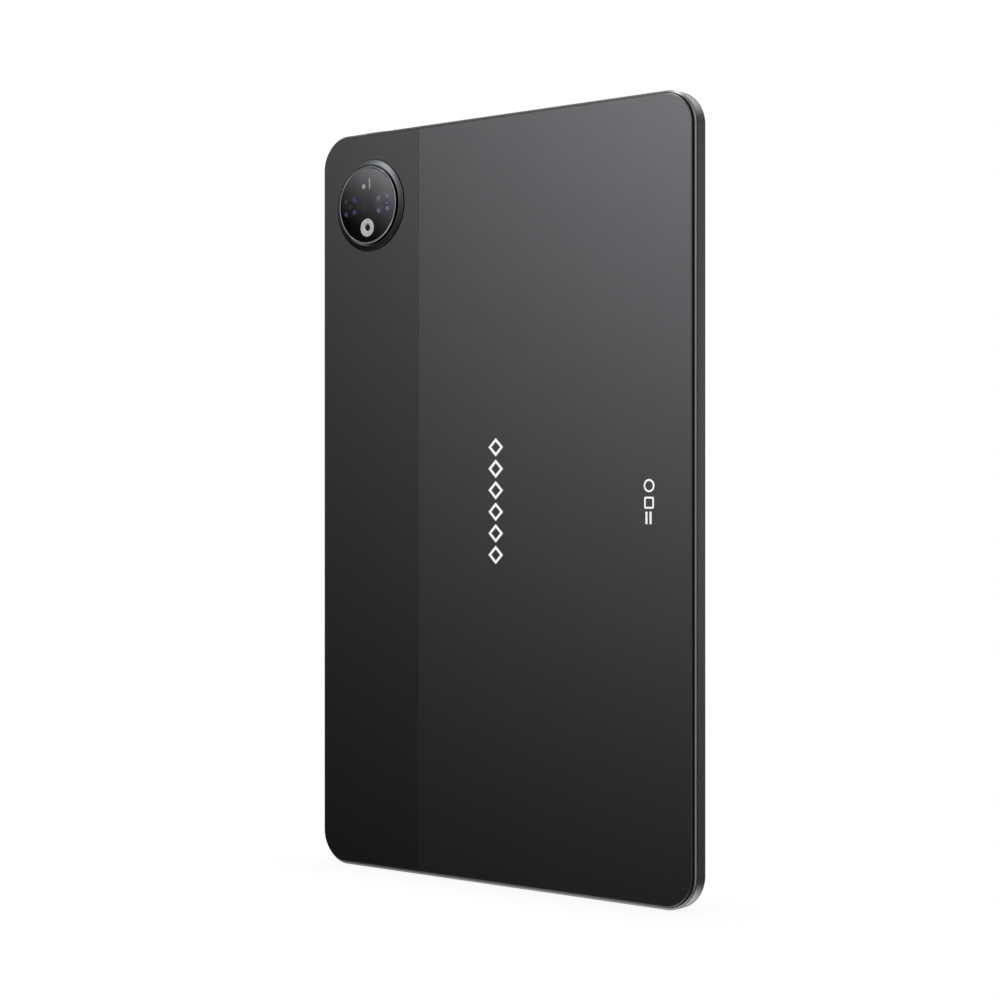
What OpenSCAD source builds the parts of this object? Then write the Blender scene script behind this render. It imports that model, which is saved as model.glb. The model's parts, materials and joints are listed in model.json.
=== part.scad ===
// Tablet computer, 11-inch class, standing on its bottom short edge.
// +Z runs up the long side, +Y points out of the rear panel, and the screen faces -Y.
// The origin is the middle of the bottom edge, half way through the case's thickness.

/* [Case] */
// Length of the long side
case_h = 258; // [256:0.5:264]
// Length of the short side
case_w = 162; // [161:0.5:166]
// Thickness from the cover glass to the rear panel
case_t = 7.2; // [7.2:0.05:7.6]
// Radius of the corners seen from behind
corner_r = 11.5; // [10:0.5:14]
// Distance of the rear panel's seam from the long edge with the buttons
seam_in = 46.3; // [43:0.1:50]

/* [Camera island] */
// Distance of the island's centre from the long edge with the buttons
island_in_x = 23.6; // [23:0.1:26]
// Distance of the island's centre from the top edge
island_in_z = 25.6; // [25:0.1:27]
// Radius of the stepped base ring
base_ring_r = 15.95; // [15.5:0.05:16.4]
// Radius of the bright ring round the glass
bezel_ring_r = 13.6; // [13.2:0.05:13.8]
// Height of the bright ring above the rear panel
island_rise = 1.85; // [1.6:0.05:2.2]

/* [Buttons and tray] */
// How far the buttons stand out of the case
button_proud = 0.35; // [0.2:0.05:0.5]
// Play round the buttons and the tray's door
button_gap = 0.1; // [0.06:0.02:0.16]

/* [Hidden] */
$fn = 96;
half_w = case_w / 2;
half_t = case_t / 2;
mid_z = case_h / 2;

// Levels through the thickness, from the glass at -half_t to the rear panel at half_t
glass_t = 0.8;
glass_back = -half_t + glass_t;
lip_y = -half_t + 1.85;
plate_front = -half_t + 2.4;
plate_rear = plate_front + 0.6;
cover_t = 1.0;
ledge_y = half_t - cover_t;
port_y = half_t - 3.25;

// How far a cutting shape runs past what it cuts, and how far two joined slabs lap
over = 1;
slab_lap = 0.1;

// Steps in from the case's outline
skirt_in = 0.8;
bezel_in = 0.85;
bezel_edge = 0.15;
glass_in = 0.95;
panel_in = 0.97;
rim_in = 0.7;
seat_in = 1.0;
core_in = 6;
wall_t = 2.6;
glass_round = 0.35;
panel_bevel_w = 0.33;
panel_bevel_h = 0.12;

// Rear skin's seam, with the lap that backs it, and the black bead round the skin
seam_x = half_w - seam_in;
seam_gap = 0.1;
seam_lap_w = 4;
seam_lap_out = 3;
seam_lap_t = 0.2;
seam_lap_in = 32;
island_clear = 20;
bead_gap = 0.02;
bead_w = 0.1;
bead_top = half_t - 0.22;

// Levels down the frame's outer face, from the rim at the rear to the lip at the front
seal_floor_y = half_t - 1.55;
rim_y = half_t - 0.96;
rim_low_y = half_t - 1.24;
edge_y = half_t - 1.3;
line_top_y = half_t - 1.34;
line_low_y = half_t - 1.52;
flat_end_y = half_t - 5.9;
front_lip_y = half_t - 6.2;
rim_out = 0.12;
line_d = 0.18;
lip_in = 0.3;

// Display module
lcd_half_w = half_w - 8.5;
lcd_low = 10.6;
lcd_high = case_h - 8;
lcd_t = 0.8;
lcd_play = 0.3;
guide_t = 0.5;
guide_y = glass_back + lcd_t;
guide_in = 0.4;
tray_wall = 0.3;
tray_gap = 0.05;

// Display flex, from the cell round the frame's lower edge to the small board
flex_t = 0.15;
flex_left = -34;
flex_right = -12;
flex_low = 3.9;
flex_front = glass_back + 0.3;
flex_rear = plate_rear + 0.25;
flex_end = 16;
flex_room = 0.5;

// Front camera
front_camera_x = half_w - 5.4;
front_camera_side = 4.8;
front_camera_r = 1.5;
front_camera_back = plate_rear + 0.6;
room_in = 0.4;
room_out = 0.3;

// Camera island
island_x = half_w - island_in_x;
island_z = case_h - island_in_z;
island_gap = 0.35;
main_lens_dx = 8.2;
second_lens_dx = -7.5;
flash_dz = -7.95;
flash_ring_r = 3.2;
flash_hole_r = 1.15;
flash_edge = 0.15;
window_r = bezel_ring_r - 0.75;
window_top = half_t + island_rise - 0.1;
window_t = 0.6;
window_back = window_top - window_t;
window_play = 0.03;
base_in_r = 10.5;
base_back = ledge_y + 0.2;
step_y = half_t + 0.35;
slope_y = half_t + 0.9;
groove_y = half_t + 0.5;
slope_in_r = bezel_ring_r + 0.6;
ring_edge = 0.18;
ring_in_r = 11.4;
ring_lip = 0.1;

// Camera modules behind the window, from the island's centre
main_camera_dx = main_lens_dx - 4.6;
main_camera_side = 8.6;
main_barrel_r = 3.6;
second_camera_dx = second_lens_dx + 1.5;
second_camera_side = 7;
second_barrel_r = 3;
barrel_base = ledge_y + 0.5;
barrel_lip = 0.9;
lens_in = 1.6;
bracket_low = [-10, -6];
bracket_high = [9.2, 6];
bracket_t = 1.2;
bracket_play = 0.05;

// Openings in the side wall
hole_r = 0.7;
hole_pitch = 2.8;
hole_count = 7;
speaker_x = 53;
speaker_left_top_x = 19;
mic_z = 42.3;
mic_y = half_t - 3.75;
mic_r = 0.45;
mic_well_r = 0.35;
mic_well_end = 1.2;
mic_side = 4;
mic_depth = 2.8;
usb_w = 8.94;
usb_h = 3.16;
usb_wall = 0.3;
usb_depth = 7.35;
usb_start = 0.3;
usb_end = usb_start + usb_depth + 2.3;
usb_play = 0.08;
usb_pocket = 0.4;
tongue_w = 6.7;
tongue_t = 0.7;
tongue_start = 0.9;

// Buttons
button_t = 1.8;
power_x = island_x;
power_len = 10;
volume_z = 158;
volume_len = 24;
volume_pivot_x = half_w - 3.4;
volume_gap = 0.15;
volume_inner_x = volume_pivot_x - 0.3;
volume_flange_len = 26.4;
pivot_r = 0.6;
flange_t = 0.7;
volume_flange_t = 0.6;
power_flange_len = 12.8;
power_inner = case_h - wall_t - 0.1 - flange_t;
switch_gap = 0.05;
switch_w = 4;
switch_t = 1.8;
switch_h = 1.4;
dome_r = 0.7;
dome_h = 0.35;
side_dome_h = 0.5;
switch_pitch = 16;
key_bracket_t = 0.6;
key_bracket_top = ledge_y - 0.4;
power_bracket_len = 13;
volume_bracket_len = 28;
rib_w = 1;
rib_gap = 0.15;

// Card tray and its ejector
door_z = 201;
door_len = 20.8;
door_h = 2.6;
door_t = 1.6;
tray_z = 203.1;
tray_w = 13;
tray_t = 0.8;
tray_end_x = half_w - 31.6;
tray_play = 0.15;
door_play = 0.05;
pin_z = 193.2;
pin_r = 0.6;
pin_play = 0.1;
pin_hole_r = 0.45;
lever_x = half_w - 36;
lever_z = 198;
lever_arm = pin_z - lever_z;
lever_w = 2;
lever_hub_r = 1.5;
lever_tip_r = 1.1;
lever_pin_r = 0.6;
lever_bore_r = 0.65;
pusher_t = 2.3;
pusher_gap = 0.1;
socket_wall = 0.2;
socket_room = 0.25;

// Card pockets in the tray: [start, over, half height] of each pocket and of the hole in its floor
card_pockets = [[1, 13.4, 4.45], [14.4, 29.4, 5.6]];
card_floors = [[1.6, 12.8, 3.75], [15, 28.8, 5]];
pocket_y = port_y - 0.1;

// Boards and battery
board_y = plate_rear + 0.5;
board_t = 0.8;
board_top = board_y + board_t;
board_low = 176;
board_high = 214;
can_top = ledge_y - 0.2;
cell_low = 38;
cell_high = 170;
cell_half_w = 69.5;
cell_rear = ledge_y - 0.3;
cell_skirt = 0.5;
cell_seal = 1.5;
cell_round = 2;
cell_gap = 1;
float_gap = 0.1;
skirt_t = 0.4;
screw_r = 0.65;
screw_head_r = 1.4;
screw_head_t = 0.5;
screw_drive_r = 0.5;
screw_hole_r = 0.9;
post_r = 1.9;
thread_play = 0.05;
screw_spots = [[-70, 180], [-70, 210], [-64, 195], [36, 180], [36, 210], [-30, 24.5], [30, 24.5]];

// Parts on the boards, each as [left, low, width, height, thickness]
main_plates = [[-74, board_low, 113, board_high - board_low], [38, board_low, 32, 11]];
chips = [[-52, 188, 14, 14, 0.9], [-17, 188, 14, 12, 0.8], [14, 190, 10, 10, 0.8], [46, 179, 6, 5, 0.7]];
cans = [[-60, 182, 30, 26], [-26, 184, 30, 22], [9, 184, 20, 22]];
connectors = [[-58, 177, 9, 3, 0.5], [-20, 177, 9, 3, 0.5], [20, 177, 9, 3, 0.5],
    [-5, 177, 10, 4, 0.35], [-5, 21, 10, 5, 0.35], [56, 178, 8, 3, 0.5]];
can_wall = 0.2;
spreader = [-62, 183, 91, 24];
spreader_t = 0.1;

// Battery board with its tail, each as [left, low, width, height, thickness]
battery_strips = [[-34, 170.6, 68, 4, 0.8], [-58, 172, 24, 2, 0.15], [-58, 174, 9, 5, 0.15]];

// Speakers
box_half_w = 17;
box_low = 3.6;
box_high = 29;
box_floor = 0.05;
driver_z = 19;
driver_len = 22;
driver_w = 12;
driver_dip = 0.45;
mouth_half_w = 10;
mouth_half_t = 0.8;
mouth_end = 8;
mesh_len = 21;
mesh_w = 1.8;
mesh_t = 0.15;
gasket_len = 23;
gasket_w = 1.86;
gasket_mouth = [20, 1.3];

// Small board, with its notch round the connector
sub_low = 9;
sub_high = 28;
sub_half_w = 34;
sub_notch = 10;

// Long flex over the cells
link_low_y = board_top + 0.35;
link_high_y = cell_rear + 0.02;
link_w = 9;

// Antennas, each as [left, low, right, high], and the step round their raised middle
top_antenna = [-34, case_h - 10, 0, case_h - 3];
top_raised = [-30, case_h - 9, -4, case_h - 4];
bottom_antenna = [12, 3, 34, 8.6];
bottom_raised = [14, 3.5, 32, 8];
antenna_y = ledge_y - 0.3;

// Antenna lead and its two plugs
coax_x = -73;
coax_y = plate_rear + 0.5;
coax_r = 0.4;
plug_r = 0.5;
plug_h = 1;
coax_ends = [30, board_low - 1.6];

// Vibration motor
motor_x = -17;
motor_z = 231;
motor_r = 5;
motor_cap_r = 2;
motor_top = ledge_y - 0.5;

// Colours
frame_colour = "#55575a";
panel_colour = "#3b3b3d";
strip_colour = "#2c2c2e";
glass_colour = "#0b0c0e";
board_colour = "#1d3b2a";

// ---------- shared shapes ----------

module rounded_rect(w, h, r) {
    square([w - 2 * r, h], center = true);
    square([w, h - 2 * r], center = true);
    for (sx = [-1, 1], sz = [-1, 1])
        translate([sx * (w / 2 - r), sz * (h / 2 - r)]) circle(r);
}

// Gives a flat drawing in X and Z its thickness between two levels
module between(y0, y1) {
    translate([0, y1, 0]) rotate([90, 0, 0]) linear_extrude(y1 - y0) children();
}

// The case's outline, stepped in, between two levels
module case_slab(inset, y0, y1) {
    between(y0, y1)
        translate([0, mid_z])
            rounded_rect(case_w - 2 * inset, case_h - 2 * inset, corner_r - inset);
}

// A block given by its low and high corners
module block(low, high) {
    translate(low) cube(high - low);
}

// A bar with round ends along X, standing in the XZ plane and cut through along Y
module slot_flat(length, width) {
    square([length - width, width], center = true);
    for (s = [-1, 1]) translate([s * (length - width) / 2, 0]) circle(width / 2);
}

// The same bar, long in X and short in Y, drawn out along Z from z0 to z1
module slot_up(length, width, z0, z1) {
    translate([0, 0, z0]) linear_extrude(z1 - z0) slot_flat(length, width);
}

// The same bar, long in Z and short in Y, drawn out along X from x0 to x1
module slot_out(length, width, x0, x1) {
    translate([x0, 0, 0])
        rotate([0, 90, 0])
            linear_extrude(x1 - x0) slot_flat(length, width);
}

// A round rod along Y between two levels
module rod(r, y0, y1) {
    translate([0, y1, 0]) rotate([90, 0, 0]) cylinder(r = r, h = y1 - y0);
}

// Turns a section of [radius, level] points round an axis along Y
module turned(section) {
    rotate([-90, 0, 0]) rotate_extrude() polygon(section);
}

// Carries a section of [step in from the outline, level] points round the case
module swept(section) {
    bar_x = half_w - corner_r;
    bar_z = mid_z - corner_r;
    profile = [for (p = section) [corner_r - p[0], p[1]]];
    translate([0, 0, mid_z])
        for (mx = [0, 1], mz = [0, 1])
            mirror([mx, 0, 0]) mirror([0, 0, mz]) {
                translate([bar_x, 0, -bar_z])
                    rotate([-90, 0, 0]) rotate_extrude(angle = 90) polygon(profile);
                translate([bar_x, 0, -bar_z]) linear_extrude(bar_z) polygon(profile);
                rotate([0, 90, 0])
                    translate([bar_z, 0, 0]) linear_extrude(bar_x) polygon(profile);
            }
}

// ---------- case ----------

frame_section = [
    [wall_t, ledge_y], [seat_in, ledge_y], [seat_in, seal_floor_y], [rim_in, seal_floor_y],
    [rim_in, rim_y], [rim_out, rim_low_y], [0, edge_y], [0, line_top_y],
    [line_d, line_top_y], [line_d, line_low_y], [0, line_low_y],
    [0, flat_end_y], [lip_in, front_lip_y], [skirt_in, front_lip_y], [skirt_in, lip_y],
    [wall_t, lip_y]];

module speaker_holes(x, z0) {
    for (i = [0 : hole_count - 1])
        translate([x + (i - (hole_count - 1) / 2) * hole_pitch, port_y, z0])
            cylinder(r = hole_r, h = wall_t + 2 * over);
}

// The room the tray's body slides in
module tray_room(x0, x1) {
    half_h = tray_w / 2 + tray_play;
    half_d = tray_t / 2 + tray_play;
    block([x0, port_y - half_d, tray_z - half_h], [x1, port_y + half_d, tray_z + half_h]);
}

// The room round the front camera
module front_camera_room(y0, y1) {
    side = front_camera_side / 2;
    block([front_camera_x - side - room_in, y0, mid_z - side - room_in],
        [front_camera_x + side + room_out, y1, mid_z + side + room_in]);
}

module wall_openings() {
    translate([0, port_y, 0])
        slot_up(usb_w + 2 * usb_play, usb_h + 2 * usb_play, -over, wall_t + over);
    for (x = [-speaker_x, speaker_x]) speaker_holes(x, -over);
    for (x = [-speaker_x, speaker_left_top_x]) speaker_holes(x, case_h - wall_t - over);
    translate([power_x, port_y, 0])
        slot_up(power_len + 2 * button_gap, button_t + 2 * button_gap,
            case_h - wall_t - over, case_h + over);
    translate([0, port_y, volume_z])
        slot_out(volume_len + 2 * volume_gap, button_t + 2 * button_gap,
            half_w - wall_t - over, half_w + over);
    translate([0, port_y, door_z])
        slot_out(door_len + 2 * button_gap, door_h + 2 * button_gap,
            half_w - door_t - door_play, half_w + over);
    tray_room(half_w - wall_t - over, half_w);
    translate([half_w - wall_t - over, port_y, pin_z]) rotate([0, 90, 0])
        cylinder(r = pin_r + pin_play, h = wall_t + over);
    translate([-half_w - over, mic_y, mic_z]) rotate([0, 90, 0])
        cylinder(r = mic_r, h = wall_t + 2 * over);
}

module plate_openings() {
    // Connector pocket, display flex slot and front camera pocket
    block([-usb_w / 2 - usb_pocket, plate_front - over, wall_t - over],
        [usb_w / 2 + usb_pocket, plate_rear + over, usb_end + usb_start]);
    block([flex_left - 2 * flex_room, plate_front - over, flex_low - flex_room],
        [flex_right + 2 * flex_room, plate_rear + over, flex_low + 0.9]);
    front_camera_room(plate_front - over, plate_rear + over);
}

module mid_frame() {
    color(frame_colour) difference() {
        union() {
            swept(frame_section);
            case_slab(wall_t - slab_lap, plate_front, plate_rear);
            for (p = screw_spots)
                translate([p[0], 0, p[1]]) rod(post_r, plate_front, board_y);
        }
        wall_openings();
        plate_openings();
        for (p = screw_spots)
            translate([p[0], 0, p[1]])
                rod(screw_r + thread_play, plate_front - over, board_y + over);
    }
}

// Black bead that fills the gap between the rear skin and the frame's rim
module rear_seal() {
    color("#0d0d0e") swept([
        [panel_in - bead_gap, seal_floor_y + bead_gap], [panel_in - bead_gap, bead_top],
        [panel_in - bead_w, bead_top], [rim_in + bead_gap, rim_y + 2 * bead_gap],
        [rim_in + bead_gap, seal_floor_y + bead_gap]]);
}

panel_section = [[core_in, ledge_y], [panel_in, ledge_y], [panel_in, half_t - panel_bevel_h],
    [panel_in + panel_bevel_w, half_t], [core_in, half_t]];

// The whole rear skin before it is divided at the seam
module rear_skin() {
    swept(panel_section);
    case_slab(core_in - slab_lap, ledge_y, half_t);
}

module rear_cover() {
    color(panel_colour) intersection() {
        rear_skin();
        block([-case_w, 0, -over], [seam_x - seam_gap / 2, case_t, case_h + over]);
    }
}

module rear_strip() {
    color(strip_colour) difference() {
        union() {
            intersection() {
                rear_skin();
                block([seam_x + seam_gap / 2, 0, -over], [case_w, case_t, case_h + over]);
            }
            // Lap that backs the seam
            block([seam_x - seam_lap_w, ledge_y - seam_lap_t, seam_lap_in],
                [seam_x + seam_lap_out, ledge_y, case_h - seam_lap_in]);
        }
        translate([island_x, 0, island_z]) rod(base_ring_r + island_gap, 0, case_t);
        block([seam_x - seam_lap_w - over, ledge_y - over, island_z - island_clear],
            [seam_x + seam_lap_out + over / 2, ledge_y, case_h]);
    }
}

// ---------- display ----------

glass_steps = 6;
glass_section = concat(
    [[core_in, glass_back], [glass_in, glass_back]],
    [for (i = [0 : glass_steps]) [
        glass_in + glass_round * (1 - cos(90 * i / glass_steps)),
        -half_t + glass_round * (1 - sin(90 * i / glass_steps))]],
    [[core_in, -half_t]]);

module cover_glass() {
    color(glass_colour) {
        swept(glass_section);
        case_slab(core_in - slab_lap, -half_t, glass_back);
    }
}

bezel_section = [[core_in, glass_back], [bezel_in + bezel_edge, glass_back],
    [bezel_in, glass_back + bezel_edge], [bezel_in, lip_y], [core_in, lip_y]];

module front_bezel() {
    color("#121214") difference() {
        union() {
            swept(bezel_section);
            case_slab(core_in - slab_lap, glass_back, lip_y);
        }
        block([-lcd_half_w - lcd_play, -half_t, lcd_low - lcd_play],
            [lcd_half_w + lcd_play, half_t, lcd_high + lcd_play]);
        front_camera_room(-half_t, half_t);
        block([flex_left - 4 * flex_room, -half_t, flex_low - 0.7],
            [flex_right + 4 * flex_room, half_t, lcd_low]);
    }
}

module lcd_cell() {
    color("#0e0f12")
        block([-lcd_half_w, glass_back, lcd_low], [lcd_half_w, glass_back + lcd_t, lcd_high]);
}

module light_guide() {
    color("#dfe6ea")
        block([-lcd_half_w + guide_in, guide_y, lcd_low + guide_in],
            [lcd_half_w - guide_in, guide_y + guide_t, lcd_high - guide_in]);
}

module backlight_tray() {
    color("#9a9c9e") difference() {
        block([-lcd_half_w, guide_y, lcd_low], [lcd_half_w, plate_front - tray_gap, lcd_high]);
        block([-lcd_half_w + tray_wall, guide_y - over, lcd_low + tray_wall],
            [lcd_half_w - tray_wall, guide_y + guide_t, lcd_high - tray_wall]);
    }
}

// Folds from the cell's lower edge through the frame's slot to the small board
module display_flex() {
    left = flex_left - over;
    right = flex_right + over;
    color("#8a5a24") difference() {
        block([flex_left, flex_front, flex_low], [flex_right, flex_rear, flex_end]);
        block([left, flex_front + flex_t, flex_low + flex_t],
            [right, flex_rear - flex_t, flex_end + over]);
        block([left, glass_back, lcd_low], [right, plate_rear, flex_end + over]);
    }
}

module front_camera() {
    side = front_camera_side / 2;
    lens_y = glass_back + 0.9;
    color("#1a1a1c") translate([front_camera_x, 0, mid_z]) {
        block([-side, lens_y, -side], [side, front_camera_back, side]);
        rod(front_camera_r, glass_back, lens_y + slab_lap);
    }
}

// ---------- camera island ----------

module at_island() {
    translate([island_x, 0, island_z]) children();
}

module camera_base_ring() {
    color("#4c4d50") at_island() turned([
        [base_in_r, base_back], [base_ring_r, base_back], [base_ring_r, step_y],
        [slope_in_r, slope_y], [slope_in_r, groove_y], [base_in_r, groove_y]]);
}

module camera_bezel_ring() {
    top = half_t + island_rise;
    color("#8f9194") at_island() turned([
        [ring_in_r, groove_y], [bezel_ring_r, groove_y], [bezel_ring_r, top - ring_edge],
        [bezel_ring_r - ring_edge, top], [window_r + 2 * ring_lip, top],
        [window_r + ring_lip, top - ring_lip], [window_r + ring_lip, window_back],
        [ring_in_r, window_back]]);
}

module camera_window() {
    color(glass_colour) at_island() difference() {
        rod(window_r, window_back, window_top);
        translate([0, 0, flash_dz]) rod(flash_ring_r + window_play, 0, window_top + over);
    }
}

module flash_ring() {
    color("#c9cacb") at_island() translate([0, 0, flash_dz])
        turned([[flash_hole_r, window_back], [flash_ring_r, window_back],
            [flash_ring_r, window_top - flash_edge / 3], [flash_ring_r - flash_edge, window_top],
            [flash_hole_r + 2 * flash_edge, window_top], [flash_hole_r, window_top - 0.2]]);
}

module flash_led() {
    color("#2a2410") at_island() translate([0, 0, flash_dz]) {
        side = 1.8;
        rod(flash_hole_r - 0.05, window_back - 0.9, window_top - 0.3);
        block([-side, window_back - 1.5, -side], [side, window_back - 0.9, side]);
    }
}

// A square housing with a stepped lens barrel behind the window
module camera_module(side, barrel_r) {
    block([-side / 2, plate_rear + float_gap, -side / 2], [side / 2, barrel_base, side / 2]);
    difference() {
        rod(barrel_r, barrel_base, window_back - float_gap);
        rod(barrel_r - barrel_lip, window_back - 0.7, window_top);
    }
    rod(barrel_r - lens_in, window_back - 0.8, window_back - 0.4);
}

module main_camera() {
    color("#17181a") at_island() translate([main_camera_dx, 0, 0])
        camera_module(main_camera_side, main_barrel_r);
}

module second_camera() {
    color("#17181a") at_island() translate([second_camera_dx, 0, 0])
        camera_module(second_camera_side, second_barrel_r);
}

module camera_bracket() {
    main = main_camera_side + 2 * bracket_play;
    second = second_camera_side + 2 * bracket_play;
    color("#a7a9ab") at_island() difference() {
        block([bracket_low[0], plate_rear, bracket_low[1]],
            [bracket_high[0], plate_rear + bracket_t, bracket_high[1]]);
        translate([main_camera_dx, 0, 0]) cube([main, case_t, main], center = true);
        translate([second_camera_dx, 0, 0]) cube([second, case_t, second], center = true);
    }
}

// ---------- electronics ----------

module screw_holes(from_index, to_index) {
    for (i = [from_index : to_index])
        translate([screw_spots[i][0], 0, screw_spots[i][1]]) rod(screw_hole_r, -half_t, half_t);
}

// A flat part lying at a level, from [left, low, width, height]
module lying(spot, y0, y1) {
    block([spot[0], y0, spot[1]], [spot[0] + spot[2], y1, spot[1] + spot[3]]);
}

// Parts on top of the boards, from [left, low, width, height, thickness]
module on_board(spots) {
    for (s = spots) lying(s, board_top, board_top + s[4]);
}

module main_board() {
    color(board_colour) difference() {
        for (s = main_plates) lying(s, board_y, board_top);
        screw_holes(0, 4);
    }
}

module board_chips() {
    color("#202124") on_board(chips);
}

module shield_cans() {
    color("#b4b6b8") for (s = cans) difference() {
        lying(s, board_top, can_top);
        translate([can_wall, 0, can_wall])
            lying([s[0], s[1], s[2] - 2 * can_wall, s[3] - 2 * can_wall],
                board_top - over, can_top - can_wall);
    }
}

module flex_connectors() {
    color("#2e2f31") on_board(connectors);
}

module heat_spreader() {
    color("#3a3a3c") lying(spreader, can_top, can_top + spreader_t);
}

// A pouch cell: a thick body on a thin sealed skirt
module pouch_cell() {
    z = (cell_low + cell_high) / 2;
    length = cell_high - cell_low;
    width = cell_half_w - 2 * cell_gap;
    between(plate_rear + float_gap, cell_rear)
        translate([0, z]) rounded_rect(width - cell_skirt, length - 2 * cell_seal, cell_round);
    between(plate_rear + float_gap, plate_rear + skirt_t)
        translate([0, z]) rounded_rect(width, length, cell_round);
}

module battery_cell_left() {
    color("#6f7276") translate([cell_half_w / 2 + cell_gap, 0, 0]) pouch_cell();
}

module battery_cell_right() {
    color("#6f7276") translate([-cell_half_w / 2 - cell_gap, 0, 0]) pouch_cell();
}

module battery_board() {
    y = plate_rear + float_gap;
    color("#26472f") for (s = battery_strips) lying(s, y, y + s[4]);
}

// An enclosed speaker: a case with a raised driver and a mouth towards the short edge
module speaker_box() {
    block([-box_half_w, plate_rear + box_floor, box_low], [box_half_w, can_top, box_high]);
}

module speaker(x, at_top) {
    color("#1b1c1e") translate([x, 0, at_top ? case_h : 0]) mirror([0, 0, at_top ? 1 : 0])
        difference() {
            speaker_box();
            translate([0, 0, driver_z])
                between(ledge_y - driver_dip, ledge_y) slot_flat(driver_len, driver_w);
            block([-mouth_half_w, port_y - mouth_half_t, 0],
                [mouth_half_w, port_y + mouth_half_t, mouth_end]);
        }
}

module speaker_bottom_left() { speaker(speaker_x, false); }
module speaker_bottom_right() { speaker(-speaker_x, false); }
module speaker_top_left() { speaker(speaker_left_top_x, true); }
module speaker_top_right() { speaker(-speaker_x, true); }

module at_speakers() {
    for (x = [-speaker_x, speaker_x]) translate([x, port_y, 0]) children();
    for (x = [-speaker_x, speaker_left_top_x])
        translate([x, port_y, case_h]) mirror([0, 0, 1]) children();
}

module speaker_meshes() {
    color("#3c3d40") at_speakers() slot_up(mesh_len, mesh_w, wall_t, wall_t + mesh_t);
}

module speaker_gaskets() {
    color("#101011") at_speakers() difference() {
        slot_up(gasket_len, gasket_w, wall_t + mesh_t, box_low);
        slot_up(gasket_mouth[0], gasket_mouth[1], wall_t, box_low + over);
    }
}

module sub_board() {
    color(board_colour) difference() {
        block([-sub_half_w, board_y, sub_low], [sub_half_w, board_top, sub_high]);
        block([-usb_w / 2 - usb_pocket / 2, -half_t, 0],
            [usb_w / 2 + usb_pocket / 2, half_t, sub_notch]);
        screw_holes(5, 6);
    }
}

module usb_c_shell() {
    color("#b8babd") translate([0, port_y, 0]) difference() {
        slot_up(usb_w, usb_h, usb_start, usb_end);
        slot_up(usb_w - 2 * usb_wall, usb_h - 2 * usb_wall, 0, usb_depth);
        // Step that lets the shell's rear over sit over the small board's edge
        block([-usb_w, -usb_h, usb_depth + 1.6], [usb_w, -tongue_t, usb_end + over]);
    }
}

module usb_c_tongue() {
    color("#151517") translate([0, port_y, 0])
        block([-tongue_w / 2, -tongue_t / 2, tongue_start], [tongue_w / 2, tongue_t / 2, usb_depth]);
}

// Runs over the cells from the small board to the main board
module link_flex() {
    path = [[22, link_low_y], [sub_high, link_low_y], [cell_low - 2, link_high_y],
        [cell_high + 2, link_high_y], [board_low, link_low_y], [181, link_low_y]];
    outer = [for (i = [len(path) - 1 : -1 : 0]) [path[i][0], path[i][1] + flex_t]];
    color("#8a5a24") translate([-link_w / 2, 0, 0])
        rotate([0, -90, 0]) mirror([0, 0, 1]) linear_extrude(link_w) polygon(concat(path, outer));
}

module antenna(body, raised) {
    block([body[0], plate_rear + float_gap, body[1]], [body[2], antenna_y, body[3]]);
    block([raised[0], antenna_y, raised[1]], [raised[2], can_top, raised[3]]);
}

module antenna_top() {
    color("#232427") antenna(top_antenna, top_raised);
}

module antenna_bottom() {
    color("#232427") antenna(bottom_antenna, bottom_raised);
}

module coax_cable() {
    color("#0f0f10") {
        translate([coax_x, coax_y, coax_ends[0] + plug_h])
            cylinder(r = coax_r, h = coax_ends[1] - coax_ends[0]);
        for (z = coax_ends) translate([coax_x, coax_y, z]) cylinder(r = plug_r, h = plug_h);
    }
}

module microphone() {
    color("#a9abad") difference() {
        block([-half_w + wall_t, plate_rear + box_floor, mic_z - mic_side / 2],
            [-half_w + wall_t + mic_depth, mic_y + 2 * mic_r, mic_z + mic_side / 2]);
        translate([-half_w + wall_t - over, mic_y, mic_z]) rotate([0, 90, 0])
            cylinder(r = mic_well_r, h = over + mic_well_end);
    }
}

module vibration_motor() {
    color("#9c9ea1") translate([motor_x, 0, motor_z]) {
        rod(motor_r, plate_rear, motor_top);
        rod(motor_cap_r, motor_top, cell_rear);
    }
}

module board_screws() {
    color("#c2c4c6") for (p = screw_spots) translate([p[0], 0, p[1]]) {
        rod(screw_r, plate_front, board_top);
        difference() {
            rod(screw_head_r, board_top, board_top + screw_head_t);
            rod(screw_drive_r, board_top + screw_head_t * 0.4, board_top + over);
        }
    }
}

// ---------- buttons ----------

module power_button() {
    color(frame_colour) translate([power_x, port_y, 0]) {
        slot_up(power_len, button_t, power_inner, case_h + button_proud);
        block([-power_flange_len / 2, -button_t / 2, power_inner],
            [power_flange_len / 2, button_t / 2, power_inner + flange_t]);
    }
}

// A dome switch whose dome points along +X, with its base at the origin
module key_switch(depth, dome) {
    block([-depth, -switch_t / 2, -switch_w / 2], [0, switch_t / 2, switch_w / 2]);
    rotate([0, 90, 0]) cylinder(r = dome_r, h = dome);
}

module power_switch() {
    color("#c9c9c4") translate([power_x, port_y, power_inner - flange_t - switch_gap])
        rotate([0, -90, 0]) key_switch(switch_h + switch_gap, dome_h);
}

module power_bracket() {
    half = power_bracket_len / 2;
    z = power_inner - flange_t - switch_h - 2 * switch_gap;
    color("#a7a9ab")
        block([power_x - half, plate_rear, z - key_bracket_t], [power_x + half, key_bracket_top, z]);
}

module volume_rocker() {
    half = volume_flange_len / 2;
    color(frame_colour) translate([0, port_y, volume_z]) {
        slot_out(volume_len, button_t, volume_inner_x, half_w + button_proud);
        block([volume_inner_x, -button_t / 2, -half],
            [volume_inner_x + volume_flange_t, button_t / 2, half]);
        translate([volume_pivot_x, 0, 0]) rod(pivot_r, -button_t / 2, button_t / 2);
    }
}

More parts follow.
